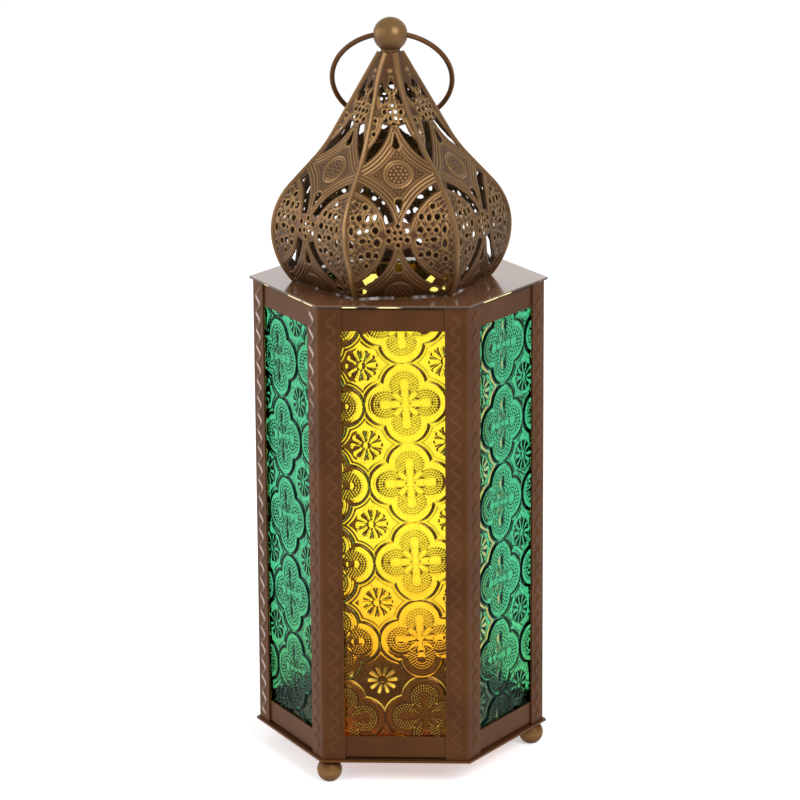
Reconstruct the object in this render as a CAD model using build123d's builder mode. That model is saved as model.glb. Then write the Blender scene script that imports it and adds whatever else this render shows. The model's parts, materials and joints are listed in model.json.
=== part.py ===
# Hexagonal candle lantern: coloured glass sides in a sheet-metal frame, a pierced onion dome,
# a drilled ball on top with a carry ring through it, and a glazed door at the back.
# Millimetres. Z is up from the floor, and the photographed front faces -Y.
import os
from math import acos, asin, atan2, cos, degrees, hypot, pi, radians, sin, sqrt, tan

from build123d import *

# Sheet and clearances
sheet = 0.8               # strip steel of posts, rails, petals and door
plate_thickness = 1.0     # base plate and top plate
seat_gap = 0.05           # radial play of a stud or pin in its hole
door_gap = 0.3            # between the shut door and the posts
round_sides = 12          # flats round pins, barrels and stems
glass_play = 0.15         # each side of a pane in its channel

# Hexagonal body
side_count = 6
corner_radius = 65.0      # axis to the fold of a corner post
post_height = 206.5
post_flange = 10.0        # width of a post along each side
fold_radius = 1.2
plate_overhang = 1.2      # how far the plates stand out past the sides
rail_height = 9.5
rail_gap = 1.2            # dark slit between a rail and the plate next to it
rail_end_gap = 0.5
glass_thickness = 3.0
glass_overlap = 3.5       # pane edge hidden behind a post

# Pressed pattern of the glass: four-lobed flowers on a square net, with a hollow between each four
flower_pitch = 35.8
lobe_reach = 8.4          # from a flower's middle to the middle of a lobe
lobe_radius = 9.3
lobe_bend_angle = 52.0    # where a lobe's edge is bent between its tip and the next lobe, degrees
knot_half = 3.2           # from where two flowers meet to the tip of a hollow
pressed_depth = 0.5
pressed_margin = 0.5      # how far the pattern runs on behind the frame
pressed_rows = 12
pressed_columns = 4
# a flower's middle across and up from the middle of each pane's lower edge, and its lean in degrees
pressed_spots = {
    "back_right": ((-16.0, 166.0), 2.0),
    "back": ((-17.0, 170.0), 1.0),
    "back_left": ((17.0, 175.0), -2.0),
    "front_left": ((-9.8, 172.8), 4.9),
    "front": ((5.3, 161.1), 3.2),
    "front_right": ((0.5, 181.1), -1.5),
}

# Bent-up tabs of the rails, which hold a pane from behind
tab_width = 7.0
tab_height = 11.5
tab_bevel = 2.2           # cut off each corner of a tab's end
tab_share = 0.47          # place of a tab's middle along half a rail

# Ball feet on every second corner
foot_radius = 5.6
foot_flat_radius = 2.0    # where it is soldered to the plate, and where it stands
foot_inset = 5.5
foot_facets = 6           # bands of flats up a foot
ball_sides = 16           # flats round a ball

# Onion dome, measured at the middle of a petal, heights above the top plate
dome_height = 101.5
neck_flat = 4.33
shoulder_angle = 39.1     # slope of the shoulder from upright, degrees
shoulder_run = 21.0       # from the belly's arc up the shoulder to the waist
belly_flat = 45.55
belly_height = 23.5
belly_curve = 32.0        # radius of the arc from the shoulder to the belly
belly_bands = 3
hem_curve = 38.0          # radius of the arc from the belly to the hem
hem_bands = 3
waist_curve = 60.0        # radius that eases the spire into the shoulder
waist_bands = 2
dome_turn_angle = 8.7     # the dome is soldered on a little turned, degrees
dome_shift_x = -2.6       # and a little to the left of the body's axis
dome_shift_y = -3.6       # and to its front
dome_slit = 0.9           # light slit under each petal
petal_tab = 8.0           # foot in the middle of a petal, which spans the slit
rib_width = 2.6
rib_height = 1.0
vent_lip = 5.3            # ledge of the top plate inside the petals' hems

# Piercing of a petal: across from its middle, up from the top plate
upper_crescent = ((3.3, 72.5), (14.0, 57.5))
lower_crescent = ((3.5, 33.7), (16.5, 47.5))
hem_crescent = ((3.2, 23.0), (15.5, 8.0))
lens_bow = 2.1
bent_bow = 3.5
bent_width = 3.6
bow_steps = (0.2, 0.5, 0.8)
drops = ((91.0, 87.2, 86.0), (68.2, 64.0, 61.8), (37.6, 41.6, 43.2), (19.0, 15.2, 13.2))
drop_half_width = 1.6
top_knot = 77.5
low_knot = 29.5
knot_radius = 4.0
knot_holes = 6
knot_hole_radius = 1.2
lattice_offset = 15.0
lattice_radius = 5.2
lattice_holes = 6
lattice_hole_radius = 1.5
hole_sides = 4

# Finial and carry ring
ball_radius = 7.6
ball_facets = 8           # bands of flats up the ball
ball_flat = 1.0           # small flat at its top
ball_rise = 7.6           # centre of the ball above the petals' tips
neck_radius = 4.3
ring_radius = 26.5        # centre line of the ring's wire
wire_radius = 1.15
wire_sides = 8
ring_bends = 40           # short straights that make up the ring
ring_rest_gap = 0.4       # between the hanging ring and the ribs that it leans on
ring_angle_step = 0.2     # degrees
ring_play = 0.35          # between the wire and the ball's bore
spindle_radius = 2.5
crown_drop = 4.0          # top of the crown block below the petals' tips
crown_depth = 6.0
nut_flat = 4.0
nut_depth = 4.0

# Candle cup on the base
cup_radius = 20.0
cup_depth = 11.0

# Door in the back side
stile_set_in = 3.5        # how far a stile stands inside the edge of its post
stile_width = 6.5
door_glass_overlap = 1.5
knuckle_radius = 1.2
knuckle_gap = 0.3
pin_radius = 0.6
hinge_length = 21.0
hinge_inset = 35.0        # from the plates to the hinges
leaf_thickness = 0.6
leaf_width = 2.6
knob_radius = 2.6
knob_height = 3.0
knob_neck = 1.0           # from the stile to the knob's head
knob_stem_radius = 1.0
catch_thickness = 0.6
catch_depth = 4.5
catch_length = 12.0
catch_gap = 0.6

# Sizes that follow from those above
side_step_angle = 360 / side_count                   # degrees from one side to the next
side_half_angle = side_step_angle / 2
apothem = corner_radius * cos(radians(side_half_angle))
foot_centre = sqrt(foot_radius**2 - foot_flat_radius**2)
foot_height = 2 * foot_centre
base_top = foot_height + plate_thickness
post_top = base_top + post_height
dome_floor = post_top + plate_thickness
plate_radius = (apothem + plate_overhang) / cos(radians(side_half_angle))
channel = 2 * sheet + glass_thickness + 2 * glass_play
rail_outer = apothem - sheet
rail_half = (rail_outer - channel) * tan(radians(side_half_angle)) - rail_end_gap
side_window = corner_radius / 2 - post_flange
pane_low = base_top + rail_gap + sheet + glass_play
pane_high = post_top - rail_gap - sheet - glass_play

corner_names = ("right", "back_right", "back_left", "left", "front_left", "front_right")
corner_angles = {name: side_step_angle * step for step, name in enumerate(corner_names)}
side_names = ("back_right", "back", "back_left", "front_left", "front", "front_right")
petal_angles = {name: side_half_angle + side_step_angle * step for step, name in enumerate(side_names)}
back_angle = petal_angles["back"]
side_angles = {name: angle for name, angle in petal_angles.items() if name != "back"}
foot_corners = ("right", "back_left", "front_left")


def outward(angle):
    return Vector(cos(radians(angle)), sin(radians(angle)), 0)


def along(angle):
    return Vector(-sin(radians(angle)), cos(radians(angle)), 0)


def side_plane(angle, distance):
    # upright plane facing outward, its X along the side and its Y up
    return Plane(origin=outward(angle) * distance, x_dir=along(angle), z_dir=outward(angle))


def save(part, name):
    part.label = name
    export_step(part, f"parts/{name}.step")


def make_ball(radius, centre, start, end, bands):
    # ball of flat facets between two latitudes
    rings = []
    for step in range(bands + 1):
        turn = start + (end - start) * step / bands
        level = centre + Vector(0, 0, radius * sin(turn))
        spokes = [outward(360 * side / ball_sides) for side in range(ball_sides)]
        rings.append([level + spoke * radius * cos(turn) for spoke in spokes])
    faces = [Face(Wire.make_polygon(rings[0])), Face(Wire.make_polygon(rings[-1]))]
    for low, high in zip(rings, rings[1:]):
        for side in range(ball_sides):
            faces.append(Face(Wire.make_polygon([low[side - 1], low[side], high[side], high[side - 1]])))
    return Solid(Shell(faces))


os.makedirs("parts", exist_ok=True)


# Base plate, and ball feet soldered under it
with BuildPart() as base_plate:
    with BuildSketch(Plane.XY.offset(foot_height)):
        RegularPolygon(plate_radius, side_count)
    extrude(amount=plate_thickness)
save(base_plate.part, "base_plate")

foot_lean = asin(foot_centre / foot_radius)          # from the ball's middle to the edge of a flat

with BuildPart() as foot:
    add(make_ball(foot_radius, Vector(0, 0, foot_centre), -foot_lean, foot_lean, foot_facets))

for corner in foot_corners:
    spot = outward(corner_angles[corner]) * (corner_radius - foot_inset)
    save(foot.part.moved(Location(spot)), f"foot_{corner}")


# Corner posts, each a strip folded to the hexagon's angle
wing_slope = Vector(-sin(radians(side_half_angle)), cos(radians(side_half_angle)))
wing_depth = Vector(-cos(radians(side_half_angle)), -sin(radians(side_half_angle))) * sheet
fold = Vector(corner_radius, 0)
inner_fold = Vector(corner_radius - sheet / cos(radians(side_half_angle)), 0)
wing_end = fold + wing_slope * post_flange
wing_back = wing_end + wing_depth

for corner, angle in corner_angles.items():
    with BuildPart() as post:
        with BuildSketch(Plane(origin=(0, 0, base_top), x_dir=outward(angle), z_dir=(0, 0, 1))):
            with BuildLine():
                Polyline(
                    (fold.X, fold.Y),
                    (wing_end.X, wing_end.Y),
                    (wing_back.X, wing_back.Y),
                    (inner_fold.X, inner_fold.Y),
                    (wing_back.X, -wing_back.Y),
                    (wing_end.X, -wing_end.Y),
                    close=True,
                )
            make_face()
        extrude(amount=post_height)
        upright = post.edges().filter_by(Axis.Z).sort_by(lambda e: hypot(e.center().X, e.center().Y))
        fillet(upright[-1], radius=fold_radius)
        fillet(upright[-2], radius=fold_radius - sheet)
    save(post.part, f"post_{corner}")


# Channel rails and panes
def make_rail(angle, outer, half_length, level, grow):
    # front strip, web under or over the pane's edge, and two tabs behind the pane
    inner = outer - channel
    reach = 1 if grow == Align.MIN else -1
    tab_spread = tab_share * half_length
    tab_tip = level + reach * tab_height
    tab_side = tab_tip - reach * tab_bevel
    with BuildPart() as rail:
        with BuildSketch(side_plane(angle, outer)):
            with Locations((0, level)):
                Rectangle(2 * half_length, rail_height, align=(Align.CENTER, grow))
        extrude(amount=-sheet)
        with BuildSketch(side_plane(angle, outer)):
            with Locations((0, level)):
                Rectangle(2 * half_length, sheet, align=(Align.CENTER, grow))
        extrude(amount=-channel)
        with BuildSketch(side_plane(angle, inner)) as tabs:
            for middle in (-tab_spread, tab_spread):
                with BuildLine():
                    Polyline(
                        (middle - tab_width / 2, level),
                        (middle - tab_width / 2, tab_side),
                        (middle - tab_width / 2 + tab_bevel, tab_tip),
                        (middle + tab_width / 2 - tab_bevel, tab_tip),
                        (middle + tab_width / 2, tab_side),
                        (middle + tab_width / 2, level),
                        close=True,
                    )
                make_face()
        extrude(tabs.sketch, amount=sheet)
    return rail.part


def hollow_outline():
    # corners of the hollow between four flowers, clockwise from its upper tip
    half = flower_pitch / 2
    cusp = half - (lobe_reach + sqrt(2 * lobe_radius**2 - lobe_reach**2)) / 2
    bend_x = half - lobe_reach - lobe_radius * cos(radians(lobe_bend_angle))
    bend_y = half - lobe_radius * sin(radians(lobe_bend_angle))
    quarter = [(0, half - knot_half), (bend_x, bend_y), (cusp, cusp), (bend_y, bend_x)]
    lower = [(y, -x) for x, y in quarter]
    return quarter + lower + [(-x, -y) for x, y in quarter + lower]


def make_pane(side, outer, window_half, overlap):
    half_width = window_half + overlap
    window_height = post_height - 2 * (rail_gap + rail_height)
    front = side_plane(petal_angles[side], outer - sheet - glass_play)
    spot, lean = pressed_spots[side]
    with BuildPart() as pane:
        with BuildSketch(front):
            with Locations((0, pane_low)):
                Rectangle(2 * half_width, pane_high - pane_low, align=(Align.CENTER, Align.MIN))
        extrude(amount=-glass_thickness)
        with BuildSketch(front) as hollows:
            with Locations(Location((spot[0], pane_low + spot[1], 0), (0, 0, lean))):
                with GridLocations(flower_pitch, flower_pitch, pressed_columns, pressed_rows):
                    Polygon(*hollow_outline(), align=None)
            with Locations((0, (pane_low + pane_high) / 2)):
                pattern_width = 2 * (window_half + pressed_margin)
                Rectangle(pattern_width, window_height + 2 * pressed_margin, mode=Mode.INTERSECT)
        extrude(hollows.sketch, amount=-pressed_depth, mode=Mode.SUBTRACT)
    return pane.part


for side, angle in side_angles.items():
    save(make_rail(angle, rail_outer, rail_half, base_top + rail_gap, Align.MIN), f"bottom_rail_{side}")
    save(make_rail(angle, rail_outer, rail_half, post_top - rail_gap, Align.MAX), f"top_rail_{side}")
    save(make_pane(side, rail_outer, side_window, glass_overlap), f"glass_{side}")


# Onion dome outline: spire, waist and belly, in the upright plane through a petal's middle,
# bent from the sheet in narrow flat bands
dome_spot = (dome_shift_x, dome_shift_y)
dome_axis = Axis((*dome_spot, 0), (0, 0, 1))
dome_origin = Vector(*dome_spot, dome_floor)
corner_stretch = 1 / cos(radians(side_half_angle))
front_petal = side_angles["front"] + dome_turn_angle
front_seam = corner_angles["front_right"] + dome_turn_angle

belly_centre = Vector(belly_flat - belly_curve, belly_height)
hem_centre = Vector(belly_flat - hem_curve, belly_height)
hem_lean = -asin(belly_height / hem_curve)
hem_flat = hem_centre.X + hem_curve * cos(hem_lean)
vent_flat = hem_flat - vent_lip

# the spire runs from the waist to the tip, and an arc eases it into the shoulder
shoulder_lean = radians(shoulder_angle)
shoulder_normal = Vector(cos(shoulder_lean), sin(shoulder_lean))
shoulder_slope = Vector(-sin(shoulder_lean), cos(shoulder_lean))
waist = belly_centre + shoulder_normal * belly_curve + shoulder_slope * shoulder_run
spire_lean = atan2(waist.X - neck_flat, dome_height - waist.Y)
waist_lean = (spire_lean + shoulder_lean) / 2
waist_reach = waist_curve / cos(shoulder_lean - waist_lean)
waist_centre = waist + Vector(cos(waist_lean), sin(waist_lean)) * waist_reach


# Top plate, open under the dome
with BuildPart() as top_plate:
    with BuildSketch(Plane.XY.offset(post_top)):
        RegularPolygon(plate_radius, side_count)
        with Locations(dome_spot):
            vent_radius = vent_flat * corner_stretch
            RegularPolygon(vent_radius, side_count, rotation=dome_turn_angle, mode=Mode.SUBTRACT)
    extrude(amount=plate_thickness)
save(top_plate.part, "top_plate")


def dome_section(angle, half_width):
    # upright plane beside the dome's axis, its X outward and its Y up
    beside = dome_origin + along(angle) * half_width
    return Plane(origin=beside, x_dir=outward(angle), z_dir=along(angle) * -1)


def dome_outline(depth):
    # corners of a petal's section from its tip to its hem, set in by depth
    def arc(centre, radius, start, end, bands):
        leans = [start + (end - start) * step / bands for step in range(bands + 1)]
        return [centre + Vector(cos(lean), sin(lean)) * radius for lean in leans]

    neck = arc(waist_centre, -waist_curve - depth, spire_lean, shoulder_lean, waist_bands)
    belly = arc(belly_centre, belly_curve - depth, shoulder_lean, 0, belly_bands)
    hem = arc(hem_centre, hem_curve - depth, 0, hem_lean, hem_bands)
    tip_x = neck_flat - depth / cos(spire_lean)
    last_band = hem[-1] - hem[-2]
    hem_x = hem[-2].X - last_band.X * hem[-2].Y / last_band.Y
    return [Vector(tip_x, dome_height), *neck, *belly, *hem[1:-1], Vector(hem_x, 0)]


def dome_profile(plane, depth, stretch=1.0):
    # filled half section of the dome, set in by depth and widened by stretch
    corner_points = [(point.X * stretch, point.Y) for point in dome_outline(depth)]
    with BuildSketch(plane) as section:
        with BuildLine():
            Polyline((0, 0), (0, dome_height), *corner_points, close=True)
        make_face()
    return section.sketch


def sixth(angle):
    # wedge of the plan between the two seams beside a petal
    reach = 2 * belly_flat
    with BuildSketch(Plane(origin=dome_origin, x_dir=outward(angle), z_dir=(0, 0, 1))) as wedge:
        with BuildLine():
            Polyline(
                (0, 0),
                (reach, -reach * tan(radians(side_half_angle))),
                (reach, reach * tan(radians(side_half_angle))),
                close=True,
            )
        make_face()
    return wedge.sketch


# Pierced petals: a plain medallion framed by four crescents, knots of small holes above and below it,
# a lattice of holes beside the lower knot, and the crescents of a second medallion cut by the hem
def bowed(start, end, bow):
    # corners of a cut that bows to its left between two points
    chord = Vector(*end) - Vector(*start)
    left = Vector(-chord.Y, chord.X).normalized()
    corner_points = [Vector(*start) + chord * t + left * (4 * bow * t * (1 - t)) for t in bow_steps]
    return [(point.X, point.Y) for point in corner_points]


def draw_crescents(start, end, near_bow, far_bow):
    outline = [start, *bowed(start, end, near_bow), end, *bowed(end, start, far_bow)]
    for hand in (1, -1):
        Polygon(*[(hand * x, y) for x, y in outline], align=None)


def draw_drop(tip, middle, end):
    outline = [(0, tip), (drop_half_width, middle), (drop_half_width / 2, end)]
    Polygon(*outline, *[(-x, y) for x, y in outline[:0:-1]], align=None)


with BuildPart() as dome_sector:
    extrude(dome_profile(dome_section(front_petal, belly_flat), 0), amount=2 * belly_flat)
    extrude(sixth(front_petal), amount=dome_height, mode=Mode.INTERSECT)

with BuildPart() as petal:
    add(dome_sector.part)
    hollow = dome_profile(dome_section(front_petal, belly_flat), sheet)
    extrude(hollow, amount=2 * belly_flat, mode=Mode.SUBTRACT)
    petal_face = Plane(origin=dome_origin, x_dir=along(front_petal), z_dir=outward(front_petal))
    with BuildSketch(petal_face):
        draw_crescents(*upper_crescent, lens_bow, lens_bow)
        draw_crescents(*lower_crescent, bent_bow, bent_width - bent_bow)
        draw_crescents(*hem_crescent, lens_bow, lens_bow)
        for tip, middle, end in drops:
            draw_drop(tip, middle, end)
        with Locations((0, top_knot), (0, low_knot)):
            with PolarLocations(knot_radius, knot_holes):
                RegularPolygon(knot_hole_radius, hole_sides)
        with Locations((-lattice_offset, low_knot), (lattice_offset, low_knot)):
            with PolarLocations(lattice_radius, lattice_holes):
                RegularPolygon(lattice_hole_radius, hole_sides)
        slit_length = belly_flat - petal_tab / 2
        with Locations((petal_tab / 2 + slit_length / 2, 0), (-petal_tab / 2 - slit_length / 2, 0)):
            Rectangle(slit_length, dome_slit, align=(Align.CENTER, Align.MIN))
    extrude(amount=2 * belly_flat, mode=Mode.SUBTRACT)

for side, angle in petal_angles.items():
    save(petal.part.rotate(dome_axis, angle - side_angles["front"]), f"petal_{side}")


# Ribs over the seams
with BuildPart() as rib:
    band = dome_profile(dome_section(front_seam, rib_width / 2), -rib_height, corner_stretch)
    extrude(band, amount=rib_width)
    for step in (-1, 0, 1, 2):
        add(dome_sector.part.rotate(dome_axis, side_step_angle * step), mode=Mode.SUBTRACT)

for corner, angle in corner_angles.items():
    save(rib.part.rotate(dome_axis, angle - corner_angles["front_right"]), f"rib_{corner}")


# Crown block wedged under the petals' tips, with the finial's spindle through it and a nut below
crown_flat = neck_flat - sheet / cos(spire_lean) + (crown_drop + crown_depth) * tan(spire_lean)
crown_foot = dome_floor + dome_height - crown_drop - crown_depth
nut_foot = crown_foot - nut_depth

with BuildPart() as crown_block:
    with BuildSketch(Plane.XY.offset(crown_foot)):
        with Locations(dome_spot):
            RegularPolygon(crown_flat * corner_stretch, side_count, rotation=dome_turn_angle)
    extrude(amount=crown_depth, taper=degrees(spire_lean))
    with BuildSketch(Plane.XY.offset(crown_foot)):
        with Locations(dome_spot):
            RegularPolygon(spindle_radius + seat_gap, round_sides, major_radius=False)
    extrude(amount=crown_depth, mode=Mode.SUBTRACT)
save(crown_block.part, "crown_block")

with BuildPart() as finial_nut:
    with BuildSketch(Plane.XY.offset(nut_foot)):
        with Locations(dome_spot):
            RegularPolygon(nut_flat * corner_stretch, side_count)
            spindle_hole = spindle_radius + seat_gap
            RegularPolygon(spindle_hole, round_sides, major_radius=False, mode=Mode.SUBTRACT)
    extrude(amount=nut_depth)
save(finial_nut.part, "finial_nut")


# Ball finial on a short neck, drilled across for the ring
ball_centre = Vector(*dome_spot, dome_floor + dome_height + ball_rise)
wire_sag = ball_radius**2 / (2 * ring_radius)        # how far the ring's wire bends inside the ball
bore_radius = wire_radius + wire_sag / 2 + ring_play

ball_start = -acos(neck_radius / ball_radius)         # where the ball grows out of the neck
ball_end = acos(ball_flat / ball_radius)

with BuildPart() as finial:
    add(make_ball(ball_radius, ball_centre, ball_start, ball_end, ball_facets))
    with BuildSketch(Plane.XY.offset(dome_floor + dome_height)):
        with Locations(dome_spot):
            RegularPolygon(neck_radius, ball_sides)
    extrude(amount=ball_rise + ball_radius * sin(ball_start))
    with BuildSketch(Plane.XY.offset(nut_foot)):
        with Locations(dome_spot):
            RegularPolygon(spindle_radius, round_sides)
    extrude(amount=dome_floor + dome_height - nut_foot)
    with BuildSketch(Plane(origin=ball_centre, x_dir=(0, 1, 0), z_dir=(1, 0, 0))):
        RegularPolygon(bore_radius, round_sides, major_radius=False)
    extrude(amount=ball_radius, both=True, mode=Mode.SUBTRACT)
save(finial.part, "finial")


# Carry ring, which leans back until its wire stands just clear of the dome
def dome_flat(height):
    # distance from the dome's axis to the middle of a petal at a height above the top plate
    for upper, lower in zip(dome_outline(0), dome_outline(0)[1:]):
        if lower.Y <= height <= upper.Y:
            share = (height - lower.Y) / (upper.Y - lower.Y)
            return lower.X + (upper.X - lower.X) * share
    return 0


def ring_gap(angle):
    # smallest gap between the ribs and the ring's wire when it leans by an angle
    drop = Vector(0, sin(radians(angle)), -cos(radians(angle)))
    rib_stand = rib_height + rib_width / 2 * sin(radians(side_half_angle))
    gaps = []
    for step in range(ring_bends):
        bend = 2 * pi * step / ring_bends
        fall = drop * (ring_radius * (1 - cos(bend)) - wire_sag / 2)
        point = ball_centre + fall + Vector(ring_radius * sin(bend), 0, 0) - dome_origin
        if point.Z < dome_height:
            flat = max(outward(petal + dome_turn_angle).dot(point) for petal in petal_angles.values())
            gaps.append((flat - dome_flat(point.Z)) * cos(spire_lean) - rib_stand - wire_radius)
    return min(gaps)


ring_angle = ring_angle_step
while ring_gap(ring_angle) < ring_rest_gap:
    ring_angle += ring_angle_step

ring_drop = Vector(0, sin(radians(ring_angle)), -cos(radians(ring_angle)))
ring_normal = Vector(0, cos(radians(ring_angle)), sin(radians(ring_angle)))
ring_centre = ball_centre + ring_drop * (ring_radius - wire_sag / 2)
bend_radius = ring_radius / cos(pi / ring_bends)

with BuildPart() as carry_ring:
    with BuildLine(Plane(origin=ring_centre, x_dir=(1, 0, 0), z_dir=ring_normal)):
        bends = [360 * (step + 0.5) / ring_bends for step in range(ring_bends)]
        Polyline(*[(bend_radius * cos(radians(bend)), bend_radius * sin(radians(bend))) for bend in bends],
                 close=True)
    with BuildSketch(Plane(origin=ring_centre, x_dir=(1, 0, 0), z_dir=ring_drop)):
        with Locations((ring_radius, 0)):
            RegularPolygon(wire_radius, wire_sides)
    sweep(transition=Transition.RIGHT)
save(carry_ring.part, "carry_ring")


# Candle cup
with BuildPart() as candle_cup:
    with BuildSketch(Plane.XY.offset(base_top)):
        Circle(cup_radius + sheet)
    extrude(amount=sheet + cup_depth)
    with BuildSketch(Plane.XY.offset(base_top + sheet)):
        Circle(cup_radius)
    extrude(amount=cup_depth, mode=Mode.SUBTRACT)
save(candle_cup.part, "candle_cup")


# Door: two stiles and two channel rails round a pane, lying over the posts at the back
door_inner = apothem + door_gap
door_outer = door_inner + sheet
door_low = base_top + rail_gap
door_high = post_top - rail_gap
stile_inner = side_window - stile_set_in
stile_outer = stile_inner + stile_width
stile_middle = stile_inner + stile_width / 2
door_middle = (door_low + door_high) / 2

for name, middle in (("door_hinge_stile", -stile_middle), ("door_latch_stile", stile_middle)):
    with BuildPart() as stile:
        with BuildSketch(Plane.XY.offset(door_low)):
            with Locations((middle, door_inner)):
                Rectangle(stile_width, sheet, align=(Align.CENTER, Align.MIN))
        extrude(amount=door_high - door_low)
        if name == "door_latch_stile":
            with BuildSketch(side_plane(back_angle, door_inner)):
                with Locations((-middle, door_middle)):
                    RegularPolygon(knob_stem_radius + seat_gap, round_sides, major_radius=False)
            extrude(amount=sheet, mode=Mode.SUBTRACT)
    save(stile.part, name)

save(make_rail(back_angle, door_outer, stile_inner, door_low, Align.MIN), "door_bottom_rail")
save(make_rail(back_angle, door_outer, stile_inner, door_high, Align.MAX), "door_top_rail")
save(make_pane("back", door_outer, stile_inner, door_glass_overlap), "door_glass")

with BuildPart() as door_knob:
    with BuildSketch(side_plane(back_angle, door_inner)):
        with Locations((-stile_middle, door_middle)):
            RegularPolygon(knob_stem_radius, round_sides)
    extrude(amount=sheet + knob_neck)
    with BuildSketch(side_plane(back_angle, door_outer + knob_neck)):
        with Locations((-stile_middle, door_middle)):
            RegularPolygon(knob_radius, round_sides)
    extrude(amount=knob_height - knob_neck)
save(door_knob.part, "door_knob")

# Spring strip that grips the edge of the post beside it
catch_edge = side_window - catch_gap

with BuildPart() as door_catch:
    with BuildSketch(Plane.XY.offset(door_middle - catch_length / 2)):
        with Locations((catch_edge, door_inner)):
            Rectangle(catch_thickness, catch_depth, align=(Align.MAX, Align.MAX))
    extrude(amount=catch_length)
save(door_catch.part, "door_catch")


# Hinges: the post's leaf has two knuckles with the pin fixed in them, the door's leaf turns on the pin
hinge_x = -(stile_outer + door_gap + knuckle_radius)
hinge_y = door_inner + knuckle_radius
knuckle_length = (hinge_length - 2 * knuckle_gap) / 3
knuckle_step = knuckle_length + knuckle_gap
leaf_clear = knuckle_radius + knuckle_gap
hinge_levels = {"lower": base_top + hinge_inset, "upper": post_top - hinge_inset - hinge_length}


def make_leaf(level, hand, width, plate_face, knuckle_levels):
    # plate on its carrier, and a tongue and barrel at each of its own knuckles
    with BuildPart() as leaf:
        with BuildSketch(Plane.XY.offset(level)):
            with Locations((hinge_x + hand * (leaf_clear + width / 2), plate_face)):
                Rectangle(width, leaf_thickness, align=(Align.CENTER, Align.MIN))
        extrude(amount=hinge_length)
        for knuckle_level in knuckle_levels:
            with BuildSketch(Plane.XY.offset(knuckle_level)):
                with Locations((hinge_x + hand * leaf_clear / 2, plate_face)):
                    Rectangle(leaf_clear, leaf_thickness, align=(Align.CENTER, Align.MIN))
                with Locations((hinge_x, hinge_y)):
                    RegularPolygon(knuckle_radius, round_sides)
            extrude(amount=knuckle_length)
    return leaf.part


for name, level in hinge_levels.items():
    with BuildPart() as post_leaf:
        add(make_leaf(level, -1, leaf_width, apothem, (level, level + 2 * knuckle_step)))
        with BuildSketch(Plane.XY.offset(level + knuckle_length)):
            with Locations((hinge_x, hinge_y)):
                RegularPolygon(pin_radius, round_sides)
        extrude(amount=knuckle_length + 2 * knuckle_gap)
    save(post_leaf.part, f"{name}_hinge_post_leaf")

    with BuildPart() as door_leaf:
        add(make_leaf(level, 1, stile_width - knuckle_radius, door_outer, (level + knuckle_step,)))
        with BuildSketch(Plane.XY.offset(level)):
            with Locations((hinge_x, hinge_y)):
                RegularPolygon(pin_radius + seat_gap, round_sides, major_radius=False)
        extrude(amount=hinge_length, mode=Mode.SUBTRACT)
    save(door_leaf.part, f"{name}_hinge_door_leaf")
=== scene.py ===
import json
import math
from types import SimpleNamespace

import bpy
import numpy as np
from mathutils import Matrix, Vector

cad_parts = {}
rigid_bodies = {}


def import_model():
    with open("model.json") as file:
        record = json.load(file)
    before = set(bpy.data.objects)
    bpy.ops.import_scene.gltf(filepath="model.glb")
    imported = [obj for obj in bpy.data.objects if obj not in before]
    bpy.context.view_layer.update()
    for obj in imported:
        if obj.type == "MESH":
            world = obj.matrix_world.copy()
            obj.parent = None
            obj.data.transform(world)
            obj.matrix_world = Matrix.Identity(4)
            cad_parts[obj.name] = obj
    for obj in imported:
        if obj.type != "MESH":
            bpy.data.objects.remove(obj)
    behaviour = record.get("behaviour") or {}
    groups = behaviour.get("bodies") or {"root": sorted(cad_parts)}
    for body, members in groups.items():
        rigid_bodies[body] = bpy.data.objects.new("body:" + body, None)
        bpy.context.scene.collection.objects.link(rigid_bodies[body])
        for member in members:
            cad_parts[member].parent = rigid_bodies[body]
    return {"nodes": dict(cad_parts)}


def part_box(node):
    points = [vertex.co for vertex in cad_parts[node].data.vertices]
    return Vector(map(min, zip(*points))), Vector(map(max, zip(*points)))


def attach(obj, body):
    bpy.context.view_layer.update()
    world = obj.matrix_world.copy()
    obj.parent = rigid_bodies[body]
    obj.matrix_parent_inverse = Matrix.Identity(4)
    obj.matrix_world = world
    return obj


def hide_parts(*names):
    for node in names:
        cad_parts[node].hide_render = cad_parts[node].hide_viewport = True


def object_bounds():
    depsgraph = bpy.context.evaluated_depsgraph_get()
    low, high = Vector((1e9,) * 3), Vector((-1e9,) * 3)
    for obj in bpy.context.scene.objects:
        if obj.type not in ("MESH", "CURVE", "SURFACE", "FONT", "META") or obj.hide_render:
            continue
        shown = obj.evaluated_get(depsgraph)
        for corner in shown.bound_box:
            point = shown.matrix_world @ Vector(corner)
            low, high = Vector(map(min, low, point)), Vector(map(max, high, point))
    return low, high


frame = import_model()
cadBox = [list(corner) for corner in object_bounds()]
mm = 0.001

# levels read from the solids, in millimetres
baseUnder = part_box("base_plate")[0][2] / mm
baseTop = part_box("base_plate")[1][2] / mm
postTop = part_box("top_plate")[0][2] / mm
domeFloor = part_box("top_plate")[1][2] / mm
finialLow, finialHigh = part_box("finial")
domeX = (finialLow[0] + finialHigh[0]) / 2 / mm  # the dome sits a little off the middle
domeY = (finialLow[1] + finialHigh[1]) / 2 / mm
lanternTop = cadBox[1][2] / mm

body = dict(cornerRadius=65.0, sheet=0.8)
sideAngles = dict(back_right=30, back=90, back_left=150, front_left=210, front=270, front_right=330)
cornerAngles = dict(right=0, back_right=60, back_left=120, left=180, front_left=240, front_right=300)
hexHalf = math.pi / 6  # half the turn from one side to the next
sideShare = math.tan(hexHalf)  # half a side's width for each unit from the middle
print("frame loaded, lantern", round(lanternTop), "mm tall")


def outward(angle):
    return np.array([math.cos(math.radians(angle)), math.sin(math.radians(angle)), 0.0])


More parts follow.
